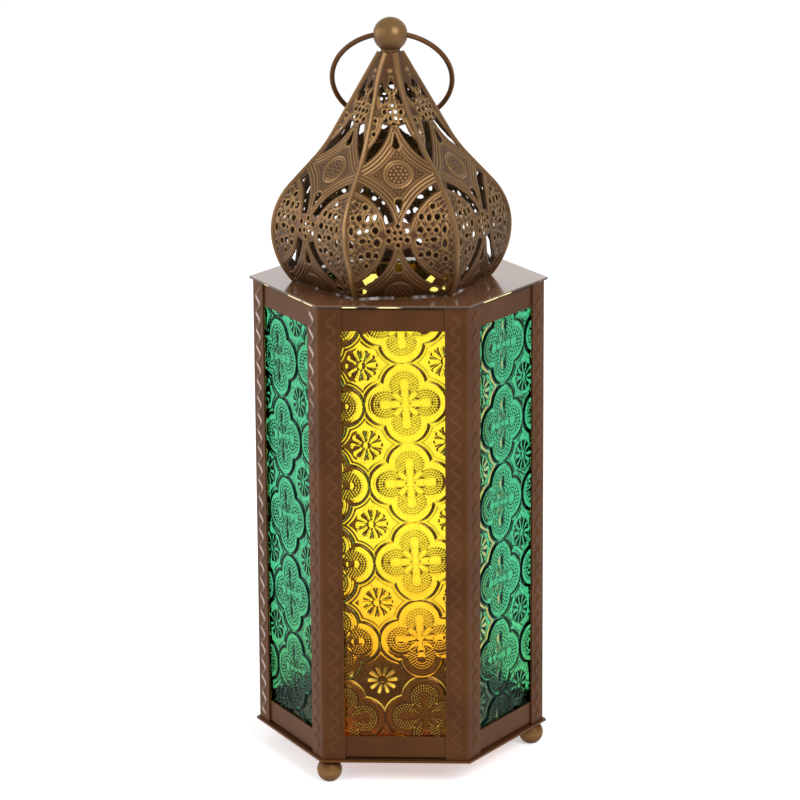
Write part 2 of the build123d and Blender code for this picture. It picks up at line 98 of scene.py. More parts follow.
def along(angle):
    return np.array([-math.sin(math.radians(angle)), math.cos(math.radians(angle)), 0.0])


def standing(angle, out, across, up, axis=(0, 0)):
    # points of a piece that faces one way: outward from an upright axis, across and up
    points = outward(angle) * out[:, None] + along(angle) * across[:, None] + np.array([*axis, 0])
    points[:, 2] = up
    return points


def deselectAll():
    if bpy.context.object and bpy.context.object.mode != "OBJECT":
        bpy.ops.object.mode_set(mode="OBJECT")
    bpy.ops.object.select_all(action="DESELECT")


def pick(piece):
    deselectAll()
    piece.select_set(True)
    bpy.context.view_layer.objects.active = piece


def takeNew(name):
    piece = bpy.context.object
    piece.name = name
    piece.data.name = name
    return piece


def getPoints(piece):
    points = np.empty(len(piece.data.vertices) * 3)
    piece.data.vertices.foreach_get("co", points)
    return points.reshape(-1, 3)


def setPoints(piece, points):
    piece.data.vertices.foreach_set("co", np.ascontiguousarray(points).ravel())
    piece.data.update()


def getShade(piece, name):
    values = np.empty(len(piece.data.vertices), dtype=np.float32)
    piece.data.attributes[name].data.foreach_get("value", values)
    return values


def setShade(piece, name, values):
    # one number for each point, for the materials to read
    layer = piece.data.attributes.get(name) or piece.data.attributes.new(name, "FLOAT", "POINT")
    layer.data.foreach_set("value", np.asarray(values, dtype=np.float32))


def gridPiece(name, across, up):
    # flat grid, with each point's share of the way across and up
    deselectAll()
    bpy.ops.mesh.primitive_grid_add(x_subdivisions=across, y_subdivisions=up, size=1)
    piece = takeNew(name)
    flat = getPoints(piece)
    return piece, flat[:, 0] + 0.5, flat[:, 1] + 0.5


def ballPiece(name, radius, middle, segments, rings):
    deselectAll()
    bpy.ops.mesh.primitive_uv_sphere_add(segments=segments, ring_count=rings, radius=radius * mm,
                                         location=[value * mm for value in middle])
    piece = takeNew(name)
    bpy.ops.object.transform_apply(location=True, rotation=False, scale=False)
    return piece


def applyModifier(piece, kind, **settings):
    pick(piece)
    modifier = piece.modifiers.new(kind.lower(), kind)
    for key, value in settings.items():
        setattr(modifier, key, value)
    bpy.ops.object.modifier_apply(modifier=modifier.name)


def editAll(piece):
    pick(piece)
    bpy.ops.object.mode_set(mode="EDIT")
    bpy.ops.mesh.select_all(action="SELECT")


def leaveEdit():
    bpy.ops.object.mode_set(mode="OBJECT")


def faceOutward():
    # every face of the piece that is in edit mode
    bpy.ops.mesh.select_all(action="SELECT")
    bpy.ops.mesh.normals_make_consistent(inside=False)


def smoothBy(piece, degrees):
    pick(piece)
    bpy.ops.object.shade_smooth_by_angle(angle=math.radians(degrees))


def addObject(name, data):
    data.name = name
    thing = bpy.data.objects.new(name, data)
    bpy.context.scene.collection.objects.link(thing)
    return thing


def turnedCopy(piece, name, degrees, axis):
    # own copy of a piece, turned about an upright axis
    copy = addObject(name, piece.data.copy())
    place = Matrix.Translation((axis[0] * mm, axis[1] * mm, 0))
    copy.data.transform(place @ Matrix.Rotation(math.radians(degrees), 4, "Z") @ place.inverted())
    return copy


def copiesRound(first, stem, firstKey, angles, axis=(0, 0)):
    # the first piece under its own key, and a turned copy of it under each other key
    pieces = {firstKey: first}
    for key, angle in angles.items():
        if key != firstKey:
            pieces[key] = turnedCopy(first, f"{stem}_{key}", angle - angles[firstKey], axis)
    return pieces


def finishPiece(piece, nodes, material, bodyName="lantern"):
    piece.data.materials.clear()
    piece.data.materials.append(material)
    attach(piece, bodyName)
    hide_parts(*nodes)


# Soft shapes: a line has a place, width and strength, an oval a middle, half sizes and, as a mark, strength

def bump(distance, width):
    return np.exp(-(distance / width)**2)


def step(value, end, soft):
    return 0.5 - 0.5 * np.tanh((value - end) / soft)


def ramp(value, start, run):
    # 0 to 1 over a run, or 1 to 0 before the start where the run is negative
    return np.clip((value - start) / run, 0, 1)


def lines(distance, *marks):
    return sum(strength * bump(distance - place, width) for place, width, strength in marks)


def ovalShare(x, y, oval):
    # 0 in an oval's middle and 1 at its edge
    return np.hypot((x - oval[0]) / oval[2], (y - oval[1]) / oval[3])


def blots(x, y, *ovals):
    return sum(oval[4] * bump(ovalShare(x, y, oval), 1) for oval in ovals)


# Materials

def feed(tree, socket, value):
    # by a link from another socket, or with a plain value
    if isinstance(value, bpy.types.NodeSocket):
        tree.links.new(value, socket)
    else:
        socket.default_value = value


def setInputs(tree, node, **inputs):
    # by the inputs' names, with _ for a space
    for name, value in inputs.items():
        feed(tree, node.inputs[name.replace("_", " ")], value)


def newNode(tree, kind, **inputs):
    node = tree.nodes.new(f"ShaderNode{kind}")
    setInputs(tree, node, **inputs)
    return node


def newMaterial(name):
    material = bpy.data.materials.new(name)
    material.use_nodes = True
    tree = material.node_tree
    tree.nodes.clear()
    skin = newNode(tree, "BsdfPrincipled")
    newNode(tree, "OutputMaterial", Surface=skin.outputs[0])
    return material, tree, skin


def addNoise(tree, scale, detail, stretch=(1, 1, 1)):
    place = newNode(tree, "TexCoord").outputs["Object"]
    mapped = newNode(tree, "Mapping", Vector=place, Scale=stretch).outputs[0]
    return newNode(tree, "TexNoise", Vector=mapped, Scale=scale, Detail=detail).outputs[0]


def addRamp(tree, source, span, colours):
    node = newNode(tree, "ValToRGB")
    feed(tree, node.inputs[0], source)
    for stop, position, colour in zip(node.color_ramp.elements, span, colours):
        stop.position, stop.color = position, colour
    return node.outputs[0]


def addMix(tree, factor, first, second, blend="MIX"):
    mix = newNode(tree, "Mix")
    mix.data_type = "RGBA"
    mix.blend_type = blend
    for number, value in ((0, factor), (6, first), (7, second)):  # the colour sockets are known by number
        feed(tree, mix.inputs[number], value)
    return mix.outputs[2]


def addShaderMix(tree, factor, first, second):
    mix = newNode(tree, "MixShader")
    for socket, source in zip(mix.inputs, (factor, first, second)):
        feed(tree, socket, source)
    return mix.outputs[0]


def addRange(tree, source, low, high):
    return newNode(tree, "MapRange", Value=source, To_Min=low, To_Max=high).outputs[0]


def addAttribute(tree, name):
    layer = newNode(tree, "Attribute")
    layer.attribute_name = name
    return layer.outputs["Fac"]


def addReach(tree, near, far, axes=(1, 1, 0)):
    # 0 near the upright axis and 1 beyond it, or by height
    place = newNode(tree, "TexCoord").outputs["Object"]
    flat = newNode(tree, "Mapping", Vector=place, Scale=axes).outputs[0]
    reach = newNode(tree, "VectorMath")
    reach.operation = "LENGTH"
    feed(tree, reach.inputs[0], flat)
    span = newNode(tree, "MapRange", Value=reach.outputs["Value"], From_Min=near * mm, From_Max=far * mm)
    return span.outputs[0]


def addRise(tree, low, high):
    return addReach(tree, low, high, (0, 0, 1))


def addBump(tree, source, strength, distance):
    return newNode(tree, "Bump", Height=source, Strength=strength, Distance=distance * mm).outputs[0]


bronze = dict(
    plain=dict(
        dark=(0.05, 0.0175, 0.0052, 1), mid=(0.072, 0.0255, 0.0078, 1), metallic=0.3, rough=(0.36, 0.52),
        shine=0.15, coat=0.0, gleam=(1.0, 0.78, 0.66, 1)),
    dome=dict(
        dark=(0.038, 0.015, 0.0052, 1), mid=(0.074, 0.032, 0.011, 1), metallic=0.55, rough=(0.3, 0.46),
        shine=0.36, coat=0.0, gleam=(1.0, 0.9, 0.82, 1)),
    # the plate look is painted lighter than plain, as the top plate's face is lit from above
    plate=dict(
        dark=(0.16, 0.066, 0.027, 1), mid=(0.235, 0.104, 0.047, 1), metallic=0.3, rough=(0.14, 0.26),
        shine=0.6, coat=0.7, gleam=(1.0, 1.0, 1.0, 1), joint=(postTop + 0.35, postTop + 0.5),
        face=(domeFloor - 0.15, domeFloor - 0.05)),
    # the inside look is painted orange, for the light through the amber panes falling on the base plate
    inside=dict(
        dark=(0.24, 0.055, 0.016, 1), mid=(0.33, 0.078, 0.023, 1), metallic=0.2, rough=(0.4, 0.6),
        shine=0.3, coat=0.0, gleam=(1.0, 0.6, 0.3, 1), within=(44, 49)))
# colours of the layers over the paint, then noise as scale and detail, and relief as strength and distance
# of the layer colours, the darkest is painted shade, crest is worn gold, bare is a painted highlight and leak
# is painted light
paint = dict(
    crest=(0.43, 0.25, 0.085, 1), bare=(0.85, 0.74, 0.7, 1), paintedShade=(0.012, 0.006, 0.003, 1),
    leak=(1.0, 0.85, 0.4, 1), leaks=(60, 1), leakEdge=(0.55, 0.59), blotch=(38, 4), blotchEdge=(0.3, 0.62),
    grain=(900, 3), peel=(0.12, 0.2), coatRough=0.08)


def addRim(tree, joint):
    # the plate's edge is plain, over a painted shadow at the joint with painted light leaking through here
    # and there
    dashes = addNoise(tree, *paint["leaks"], (1, 1, 0))
    leaks = addRamp(tree, dashes, paint["leakEdge"], (paint["paintedShade"], paint["leak"]))
    return addMix(tree, addRise(tree, *joint), leaks, bronze["plain"]["mid"])


def makeBronze(name, look):
    # brown bronze paint, mottled, a little orange peel, worn to gold where a piece has a crest
    # of the layers, the first lays painted shade and bare a painted highlight; crest is worn gold
    material, tree, skin = newMaterial(name)
    tone = bronze[look]
    coat = tone["coat"]
    grain = addNoise(tree, *paint["grain"])
    colour = addRamp(tree, addNoise(tree, *paint["blotch"]), paint["blotchEdge"], (tone["dark"], tone["mid"]))
    # painted light on the base plate's floor, plain out at its rim
    if "within" in tone:
        colour = addMix(tree, addReach(tree, *tone["within"]), colour, bronze["plain"]["mid"])
    # painted light on the plate's top face, over the plain rim and its joint
    if "face" in tone:
        face = addRise(tree, *tone["face"])
        colour = addMix(tree, face, addRim(tree, tone["joint"]), colour)
        coat = addRange(tree, face, 0, coat)
    for layer in ("paintedShade", "crest", "bare"):
        colour = addMix(tree, addAttribute(tree, layer), colour, paint[layer])
    setInputs(tree, skin, Base_Color=colour, Metallic=tone["metallic"], Specular_IOR_Level=tone["shine"],
              Specular_Tint=tone["gleam"], Coat_Weight=coat, Coat_Roughness=paint["coatRough"],
              Roughness=addRange(tree, grain, *tone["rough"]), Normal=addBump(tree, grain, *paint["peel"]))
    return material


# the dark tone is painted shade, the glint colour a painted glint, and the foot tint painted light for the
# lit floor seen through a pane's lower part
glass = dict(
    amber=dict(
        plain=0.0, clear=(1.0, 0.94, 0.42, 1), shadeTone=(0.02, 0.008, 0.004, 1), lamp=(1.0, 0.6, 0.03, 1),
        gleam=(1.0, 0.45, 0.16, 1), glint=(0.95, 0.68, 0.06, 1), foot=(1.0, 0.76, 0.3, 1)),
    teal=dict(
        plain=0.7, clear=(0.5, 0.855, 0.705, 1), shadeTone=(0.008, 0.01, 0.008, 1), lamp=(0.12, 0.4, 0.3, 1),
        gleam=(0.12, 0.7, 0.5, 1), glint=(0.52, 0.34, 0.012, 1), foot=(0.52, 0.83, 0.64, 1)),
    footRise=(40, 76), roughness=0.03, ior=1.5, cloud=(60, 3), cloudEdge=(0.2, 0.7),
    cloudTints=((0.965, 0.965, 0.965, 1), (1, 1, 1, 1)), ripple=(0.1, 0.3))


def makeGlass(name, tone):
    # pressed glass with painted shade on the pattern's outlines and steep sides, painted glints, and lamps
    # shine in through it
    material, tree, skin = newMaterial(name)
    cloud = addNoise(tree, *glass["cloud"])
    glint = addAttribute(tree, "glint")
    # painted light: the lower part of each pane takes the foot tint
    tint = addMix(tree, addRise(tree, *glass["footRise"]), tone["foot"], tone["clear"])
    # painted shade where the line attribute is set
    tint = addMix(tree, addAttribute(tree, "line"), tint, tone["shadeTone"])
    shade = addRamp(tree, cloud, glass["cloudEdge"], glass["cloudTints"])
    tint = addMix(tree, 1, tint, shade, "MULTIPLY")
    square = newNode(tree, "Gamma", Color=tint, Gamma=2)  # each face takes the root of the base colour
    face = dict(Roughness=glass["roughness"], IOR=glass["ior"], Normal=addBump(tree, cloud, *glass["ripple"]))
    # painted glints: the glass turns opaque in the glint colour where the glint attribute is set
    setInputs(tree, skin, Base_Color=addMix(tree, glint, square.outputs[0], tone["glint"]),
              Transmission_Weight=addRange(tree, glint, 1.0, 0.0), Specular_Tint=tone["gleam"], **face)
    bent = newNode(tree, "BsdfRefraction", Color=tint, **face)  # the share that has no mirror gleam
    plainShare = addRange(tree, glint, tone["plain"], 0.0)
    seen = addShaderMix(tree, plainShare, skin.outputs[0], bent.outputs[0])
    through = newNode(tree, "BsdfTransparent", Color=tone["lamp"])
    shadowRay = newNode(tree, "LightPath").outputs["Is Shadow Ray"]
    either = addShaderMix(tree, shadowRay, seen, through.outputs[0])
    setInputs(tree, tree.nodes["Material Output"], Surface=either)
    return material


plainBronze = makeBronze("plainBronze", "plain")
domeBronze = makeBronze("domeBronze", "dome")
toplitPlateBronze = makeBronze("toplitPlateBronze", "plate")
amberLitFloorBronze = makeBronze("amberLitFloorBronze", "inside")
amberGlass = makeGlass("amberGlass", glass["amber"])
tealGlass = makeGlass("tealGlass", glass["teal"])
print("materials made")


# Corner posts: strip folded at the corner, with a wavy line pressed out along each flange

post = dict(
    flange=10.0, fold=1.2, waveFrom=5.6, waveSwing=1.7, wavePitch=7.75, waveWidth=0.55, waveHeight=0.6,
    waveEnd=2.0, cell=0.5, rowStretch=1.4, edgeWear=0.5, foldWear=0.9, waveGold=0.05, edgeGold=0.03)
# flanges whose wavy line gets a painted highlight, as lit from the left, each with the height where that
# starts, and how its slopes differ
paintedGlints = dict(
    flanges=dict(left=(1, -30), front_left=(-1, 150)),
    run=30, strength=0.75, middle=0.55, swing=0.75, least=0.12)


def makePost(name):
    tangent = post["fold"] * sideShare
    height = postTop - baseTop
    rows = int(height / post["cell"] / post["rowStretch"])
    piece, shareU, shareV = gridPiece(name, int(2 * post["flange"] / post["cell"]), rows)
    s = (shareU - 0.5) * 2 * post["flange"]
    z = shareV * height
    turn = np.clip(s / tangent, -1, 1) * hexHalf  # which way the strip faces
    flat = np.sign(s) * np.maximum(np.abs(s) - tangent, 0)
    centre = body["cornerRadius"] - post["fold"] / math.cos(hexHalf)
    wave = 2 * math.pi * z / post["wavePitch"]
    slope = post["waveSwing"] * 2 * math.pi / post["wavePitch"] * np.cos(wave)
    offLine = (np.abs(s) - post["waveFrom"] - post["waveSwing"] * np.sin(wave)) / np.sqrt(1 + slope**2)
    end = post["waveEnd"]
    ridge = bump(offLine, post["waveWidth"]) * ramp(np.minimum(z, height - z), end, end)
    reach = post["fold"] + ridge * post["waveHeight"]
    x = centre + reach * np.cos(turn) - flat * np.sin(turn)
    y = reach * np.sin(turn) + flat * np.cos(turn)
    setPoints(piece, np.column_stack([x, y, z + baseTop]) * mm)
    edge = bump(np.abs(s) - post["flange"], post["edgeWear"]) + bump(s, post["foldWear"])
    setShade(piece, "crest", np.clip(post["waveGold"] * ridge + post["edgeGold"] * edge, 0, 1))
    setShade(piece, "ridge", ridge**2)
    applyModifier(piece, "SOLIDIFY", thickness=body["sheet"] * mm, offset=-1)
    smoothBy(piece, degrees=40)
    return piece


firstPost = makePost("post_skin_right")
postPoints, ridge = getPoints(firstPost) / mm, getShade(firstPost, "ridge")
postRise = postPoints[:, 2] - baseTop
waveSlope = np.cos(2 * math.pi * postRise / post["wavePitch"])
for corner, piece in copiesRound(firstPost, "post_skin", "right", cornerAngles).items():
    flange, bottom = paintedGlints["flanges"].get(corner, (0, 0))
    lit = np.clip(paintedGlints["middle"] - paintedGlints["swing"] * flange * waveSlope, paintedGlints["least"], 1)
    lit *= ramp(postRise, bottom, paintedGlints["run"])
    # painted highlight along the wavy line, stronger on the slopes that face the light
    setShade(piece, "bare", paintedGlints["strength"] * ridge * lit * (postPoints[:, 1] * flange > 0))
    finishPiece(piece, [f"post_{corner}"], plainBronze)
print("posts made")


# Pressed glass panes: four-lobed flowers on a leaning square net, with a daisy in each hollow between

pane = dict(
    cell=0.305, backCell=0.45, thickness=3.0, windowHalf=22.5, doorHalf=19.0, margin=0.6, rail=8.0,
    pillow=(11.0, 6.2, 0.07), slopeStep=0.05, backShade=0.25)
# a flower's middle across and up from the pane's lower edge, and the net's lean in degrees
paneSpots = dict(
    back_right=(-16.0, 166.0, 2.0), back=(-17.0, 170.0, 1.0), back_left=(17.0, 175.0, -2.0),
    front_left=(-9.8, 172.8, 4.9), front=(5.3, 161.1, 3.2), front_right=(0.5, 181.1, -1.5))
# the slopes named here get painted shade for the dark post
shaded = dict(front_right=1, front_left=-1)  # which slopes bend light to the dark post

budAt = 8.6
flower = dict(
    pitch=35.8, lobeReach=8.4, lobeRadius=9.6, soft=0.3, secondLine=(1.7, 0.34, 0.12), field=(6.7, 0.4),
    fieldDepth=0.12, fieldLine=(7.3, 0.25, 0.06), dotWidth=0.4, dotsTo=(6.5, 0.1), rowDots=6,
    bud=(budAt, 0, 2.6, 1.9), leaf=(4.7, 0, 2.1, 1.05), heart=(0, 0, 2.1, 1.45), armHalf=(0.6, 0.17),
    armEnd=(4.9, 1.2), swell=1.1, depth=0.24, clear=(1.12, 0.06), rim=(1.08, 0.15, 1.0), rimTo=(7.0, 0.2),
    rimDepth=0.06, rimShade=0.25, creases=(5.1, 2.1, 1.0, 0.42, 1.0),
    seeds=((1.9, 0, 0.5, 0.5, 1.0), (11.7, 0, 0.7, 0.5, 1.0)), touch=2.4, touchFrom=(-14, 4))
# a wave round the daisy, cut at a level that shifts outwards, gives its petals (sign 1) or the gaps (-1)
daisy = dict(
    radius=6.6, soft=0.2, petals=10, hub=1.6, height=0.3,
    petal=dict(level=-0.85, shift=0.26, start=1.6, sign=1, soft=0.22, inner=2.0))
# heights across a flower's outline from inside to outside, the slopes that get painted shade, and the painted
# shade and painted glints of the pattern's small marks
pressed = dict(
    amber=dict(
        edge=((-0.55, -0.05, 0.2, 0.8), (0, -0.55, -0.62, -0.34)), dark=(0.5, 0.3), dot=0.34, dotPitch=1.12,
        stroke=(0, 0.4, 1.6), secondStroke=(1.7, 0.3, 0.6), upright=(0.16, 0.3),
        wedge=dict(level=0.87, shift=-0.075, start=3.6, sign=-1, soft=0.08, inner=3.4),
        dashes=(2.1, 0.42, 0.9), dashEdge=(-0.45, 0.2), dotShade=(0.55, 0.035), low=(33, 8), shadow=0.55,
        shadowFrom=(21, 6), fieldShade=0.75, spark=0.7, sparkEdge=(0.5, 1 / 2.2), petalGlint=0.75,
        petalFrom=(1.5, 4), glintLine=(0.45, 0.3, 1.0), glintEdge=(0.1 / 1.6, 1 / 1.6)),
    teal=dict(
        edge=((-1.1, -0.05, 2.2), (0, -0.72, -0.34)), dark=(0.12, 0.2), dot=0.25, dotPitch=1.6, stroke=1.8,
        strokeAt=(-0.2, 1.0), strokeWidth=(0.45, 0.3), rimShade=0.2,
        wedge=dict(level=0.5, shift=-0.06, start=3.6, sign=-1, soft=0.12, inner=3.0),
        shades=((1.1, budAt, 1.0, 2.3, 1.5), (-0.5, 3.8, 0.6, 1.5, 1.0), (2.7, 3.2, 0.6, 1.4, 1.0)),
        gleams=((-1.1, budAt, 0.8, 2.1, 1.8), (-2.1, 3.5, 0.6, 1.5, 1.0), (1.0, 3.6, 0.5, 1.5, 1.0)),
        glintLine=(1.25, 0.55, 1.2), glintEdge=(0, 1 / 1.8), petalGlint=0.8, petalFrom=(0, 3),
        petalTo=(-12, 2.0), fadeRight=(17, -30), leastRight=0.1, fadeLow=(18, 25), leastLow=0.3))


def glassOf(side):
    return "amber" if side in ("front", "back") else "teal"


def flowerPlace(u, up, side):
    # where points lie in the net, and which way the outline of the nearest lobe faces there
    middleU, middleUp, lean = paneSpots[side]
    lean = math.radians(lean)
    du, dz = u - middleU, up - middleUp
    a = (du * math.cos(lean) + dz * math.sin(lean)) / flower["pitch"]
    b = (dz * math.cos(lean) - du * math.sin(lean)) / flower["pitch"]
    a, b = (a - np.round(a)) * flower["pitch"], (b - np.round(b)) * flower["pitch"]
    x, y = np.abs(a), np.abs(b)
    big, small = np.maximum(x, y), np.minimum(x, y)
    lobe = np.minimum(np.hypot(big - flower["lobeReach"], small), big)  # from the middle of the nearest lobe
    beyond = lobe - flower["lobeRadius"]
    near = np.maximum(lobe, 0.1)
    facing = (x - np.where(x >= y, flower["lobeReach"], 0)) * np.sign(a) / near
    rising = (y - np.where(y > x, flower["lobeReach"], 0)) * np.sign(b) / near
    touching = bump(np.hypot(big - flower["pitch"] / 2, small), flower["touch"])
    return SimpleNamespace(u=u, up=up, a=a, b=b, x=x, y=y, big=big, small=small, lobe=lobe, beyond=beyond,
                           facing=facing, rising=rising, outside=1 - step(beyond, 0, flower["soft"]),
                           apart=1 - touching * ramp(u, *flower["touchFrom"]))


def pressFlower(at, look):
    # the outline is a groove with a fainter one outside it, round a sunken field
    f = flower
    at.field = step(at.lobe, *f["field"])
    height = np.interp(at.beyond, *look["edge"]) - lines(at.beyond, f["secondLine"])
    height -= f["fieldDepth"] * at.field + lines(at.lobe, f["fieldLine"])
    # rows of dots round each lobe's middle
    row = np.round(at.lobe / look["dotPitch"])
    count = np.maximum(f["rowDots"] * row, 1)
    turn = np.arctan2(at.small, at.big - f["lobeReach"]) * count / (2 * math.pi)
    aside = (turn - np.round(turn)) * 2 * math.pi * row * look["dotPitch"] / count
    at.dots = bump(np.hypot(at.lobe - row * look["dotPitch"], aside), f["dotWidth"])
    at.dots *= step(at.lobe, *f["dotsTo"])
    # a bud in each lobe, arms from the middle to the buds, leaves between the arms, and an oval heart
    half, widen = f["armHalf"]
    end, run = f["armEnd"]
    arm = np.maximum(at.small / (half + widen * at.big), (at.big - end) / run)
    bud = ovalShare(at.big, at.small, f["bud"])
    leaf = ovalShare((at.x + at.y) * math.sqrt(0.5), (at.x - at.y) * math.sqrt(0.5), f["leaf"])
    nearest = np.minimum.reduce([bud, arm, leaf, ovalShare(at.a, at.b, f["heart"])])
    at.bare = 1 - step(nearest, *f["clear"])
    at.rim = lines(nearest, f["rim"]) * step(at.lobe, *f["rimTo"])
    ornament = f["depth"] * np.clip(f["swell"] - nearest**2, 0, 1)
    return height - (at.dots * at.bare * look["dot"] + ornament) * at.field - f["rimDepth"] * at.rim


def daisyShare(at, part):
    level = part["level"] + part["shift"] * (at.radius - part["start"])
    ends = step(at.radius, daisy["radius"], daisy["soft"]) * step(part["inner"], at.radius, daisy["soft"])
    return step(level, part["sign"] * at.spoke, part["soft"]) * ends


def pressDaisy(at):
    # the daisy between four flowers, with a domed hub
    at.daisyX = (flower["pitch"] / 2 - at.x) * np.sign(at.a)
    daisyY = (flower["pitch"] / 2 - at.y) * np.sign(at.b)
    at.radius = np.hypot(at.daisyX, daisyY)
    at.spoke = np.cos(daisy["petals"] * np.arctan2(daisyY, at.daisyX))
    at.petal = daisyShare(at, daisy["petal"])
    hub = np.sqrt(np.clip(1 - (at.radius / daisy["hub"])**2, 0, 1))
    return daisy["height"] * (at.petal + hub) * at.outside


def amberMarks(at, paintedShadeMarks):
    look = pressed["amber"]
    # painted shade on the outlines, the daisy's wedges and dashes, and the dots
    stroke = np.clip(lines(at.beyond, look["stroke"]), 0, 1) + lines(at.beyond, look["secondStroke"])
    dashes = step(at.spoke, *look["dashEdge"]) * lines(at.radius, look["dashes"])
    paintedShadeMarks = paintedShadeMarks + stroke * ramp(np.abs(at.facing), *look["upright"]) * at.apart
    paintedShadeMarks += daisyShare(at, look["wedge"]) + dashes
    paintedShadeMarks += at.dots * at.bare * (look["dotShade"][0] + look["dotShade"][1] * at.x)
    # where the dark floor lies behind, painted shadow lies on the field, and painted glints on the outlines'
    # upper sides and the dots instead
    low = 1 - ramp(at.up, *look["low"])
    shadow = look["shadow"] * at.outside * (1 - at.petal) * ramp(at.up, *look["shadowFrom"])
    paintedShadeMarks = paintedShadeMarks * (1 - low) + low * (shadow + look["fieldShade"] * (1 - at.dots) * at.bare * at.field)
    sparks = look["spark"] * ramp(at.dots * at.bare, *look["sparkEdge"]) * at.field
    sparks += look["petalGlint"] * at.petal * ramp(at.radius, *look["petalFrom"])
    upper = lines(at.beyond, look["glintLine"]) * ramp(at.rising, *look["glintEdge"]) * at.apart
    return paintedShadeMarks, low * (upper + sparks)


def tealMarks(at, paintedShadeMarks, turned):
    look = pressed["teal"]
    away = np.clip(at.facing * turned, 0, 1)  # there the groove's far side is what shows
    offLine = at.beyond - look["strokeAt"][0] - look["strokeAt"][1] * away
    stroke = look["stroke"] * bump(offLine, look["strokeWidth"][0] + look["strokeWidth"][1] * away)
    # painted shade on the outlines, the buds, the daisy's wedges, the dots and the rims
    paintedShadeMarks = paintedShadeMarks + np.clip(stroke, 0, 1) * at.apart + blots(at.a * turned, at.y, *look["shades"])
    paintedShadeMarks += daisyShare(at, look["wedge"]) + at.dots * at.bare + look["rimShade"] * at.rim
    if turned < 0:
        return paintedShadeMarks, np.zeros(len(at.u))
    # painted glints stand for the amber light inside, along the slopes on one side only
    glint = lines(at.beyond, look["glintLine"]) * ramp(-at.facing, *look["glintEdge"])
    glint += blots(at.a, at.y, *look["gleams"])
    petalShare = step(at.u, *look["petalTo"]) * ramp(-at.daisyX, *look["petalFrom"])
    glint += look["petalGlint"] * at.petal * petalShare * at.outside
    glint *= np.maximum(ramp(at.u, *look["fadeRight"]), look["leastRight"])
    return paintedShadeMarks, glint * np.maximum(ramp(at.up, *look["fadeLow"]), look["leastLow"])


def pressedFace(u, up, side):
    # height of the pressed face, how much painted shade lies on its outlines and small marks, and how bright
    # its painted glints are
    at = flowerPlace(u, up, side)
    height = pressFlower(at, pressed[glassOf(side)]) + pressDaisy(at)
    # painted shade on the rims, creases and seeds
    paintedShadeMarks = flower["rimShade"] * at.rim + blots(at.big, at.small, flower["creases"])
    paintedShadeMarks += blots(at.x, at.y, *flower["seeds"])
    if glassOf(side) == "amber":
        paintedShadeMarks, glint = amberMarks(at, paintedShadeMarks)
    else:
        paintedShadeMarks, glint = tealMarks(at, paintedShadeMarks, shaded.get(side, 1))
    strength = pane["backShade"] if "back" in side else 1.0
    return height, np.clip(paintedShadeMarks, 0, 1) * strength, np.clip(glint, 0, 1) * ("front" in side)


def makePane(side, node):
    low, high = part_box(node)[0][2] / mm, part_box(node)[1][2] / mm
    boxLow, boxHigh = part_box("door_glass" if side == "back" else "glass_front")
    front = boxHigh[1] / mm if side == "back" else -boxLow[1] / mm
    halfWidth = (boxHigh[0] - boxLow[0]) / 2 / mm
    windowHalf = pane["doorHalf" if side == "back" else "windowHalf"] + pane["margin"]
    windowLow, windowHigh = low + pane["rail"], high - pane["rail"]
    cell = pane["cell"] if "front" in side else pane["backCell"]
    columns, rows = int(2 * windowHalf / cell) + 2, int((high - low - 2 * pane["rail"]) / cell) + 2
    piece, shareU, shareV = gridPiece(f"pane_{side}", columns, rows)
    # fine over the window, with one wide strip behind the frame all round
    across = np.interp(shareU * columns, [0, 1, columns - 1, columns],
                       [-halfWidth, -windowHalf, windowHalf, halfWidth])
    z = np.interp(shareV * rows, [0, 1, rows - 1, rows], [low, windowLow, windowHigh, high])
    height, paintedShadeMarks, glint = pressedFace(across, z - low, side)
    # painted shade on the steep slopes, where the glass bends the view onto dark parts
    if "front" in side:
        slope = (pressedFace(across + pane["slopeStep"], z - low, side)[0] - height) / pane["slopeStep"]
        slope = shaded[side] * slope if side in shaded else np.abs(slope)
        paintedShadeMarks = np.clip(paintedShadeMarks + ramp(slope, *pressed[glassOf(side)]["dark"]), 0, 1)
    spare = 0.1
    within = (np.abs(across) < windowHalf + spare) & (z > windowLow - spare) & (z < windowHigh + spare)
    sunk = np.minimum(height, 0)
    if side == "front":
        start, run, tilt = pane["pillow"]  # the face falls off to its sides
        past = np.maximum(np.abs(across) - start, 0)
        sunk = sunk - tilt * np.where(past < run, past**2 / (2 * run), past - run / 2)
    setPoints(piece, standing(sideAngles[side], front + sunk * within, across, z) * mm)
    # painted shade and painted glints, on the window only
    setShade(piece, "line", paintedShadeMarks * within)
    setShade(piece, "glint", glint * within)
    editAll(piece)
    bpy.ops.mesh.region_to_loop()
    back = -outward(sideAngles[side]) * pane["thickness"] * mm
    bpy.ops.mesh.extrude_edges_move(TRANSFORM_OT_translate={"value": tuple(back)})
    bpy.ops.mesh.edge_face_add()
    faceOutward()
    leaveEdit()
    smoothBy(piece, degrees=75)
    return piece


for side in sideAngles:
    node = "door_glass" if side == "back" else f"glass_{side}"
    piece = makePane(side, node)
    material = amberGlass if glassOf(side) == "amber" else tealGlass
    finishPiece(piece, [node], material, "door" if side == "back" else "lantern")
print("panes made", len(piece.data.polygons), "faces in the last")


# Onion dome: outline of a petal's middle, then pierced and embossed petals

dome = dict(
    height=101.5, neckFlat=4.33, bellyFlat=45.55, bellyHeight=23.5, bellyCurve=32.0, hemCurve=38.0,
    shoulderAngle=39.1, shoulderRun=21.0, waistCurve=60.0, turn=8.7, cell=0.4, arcPoints=120)


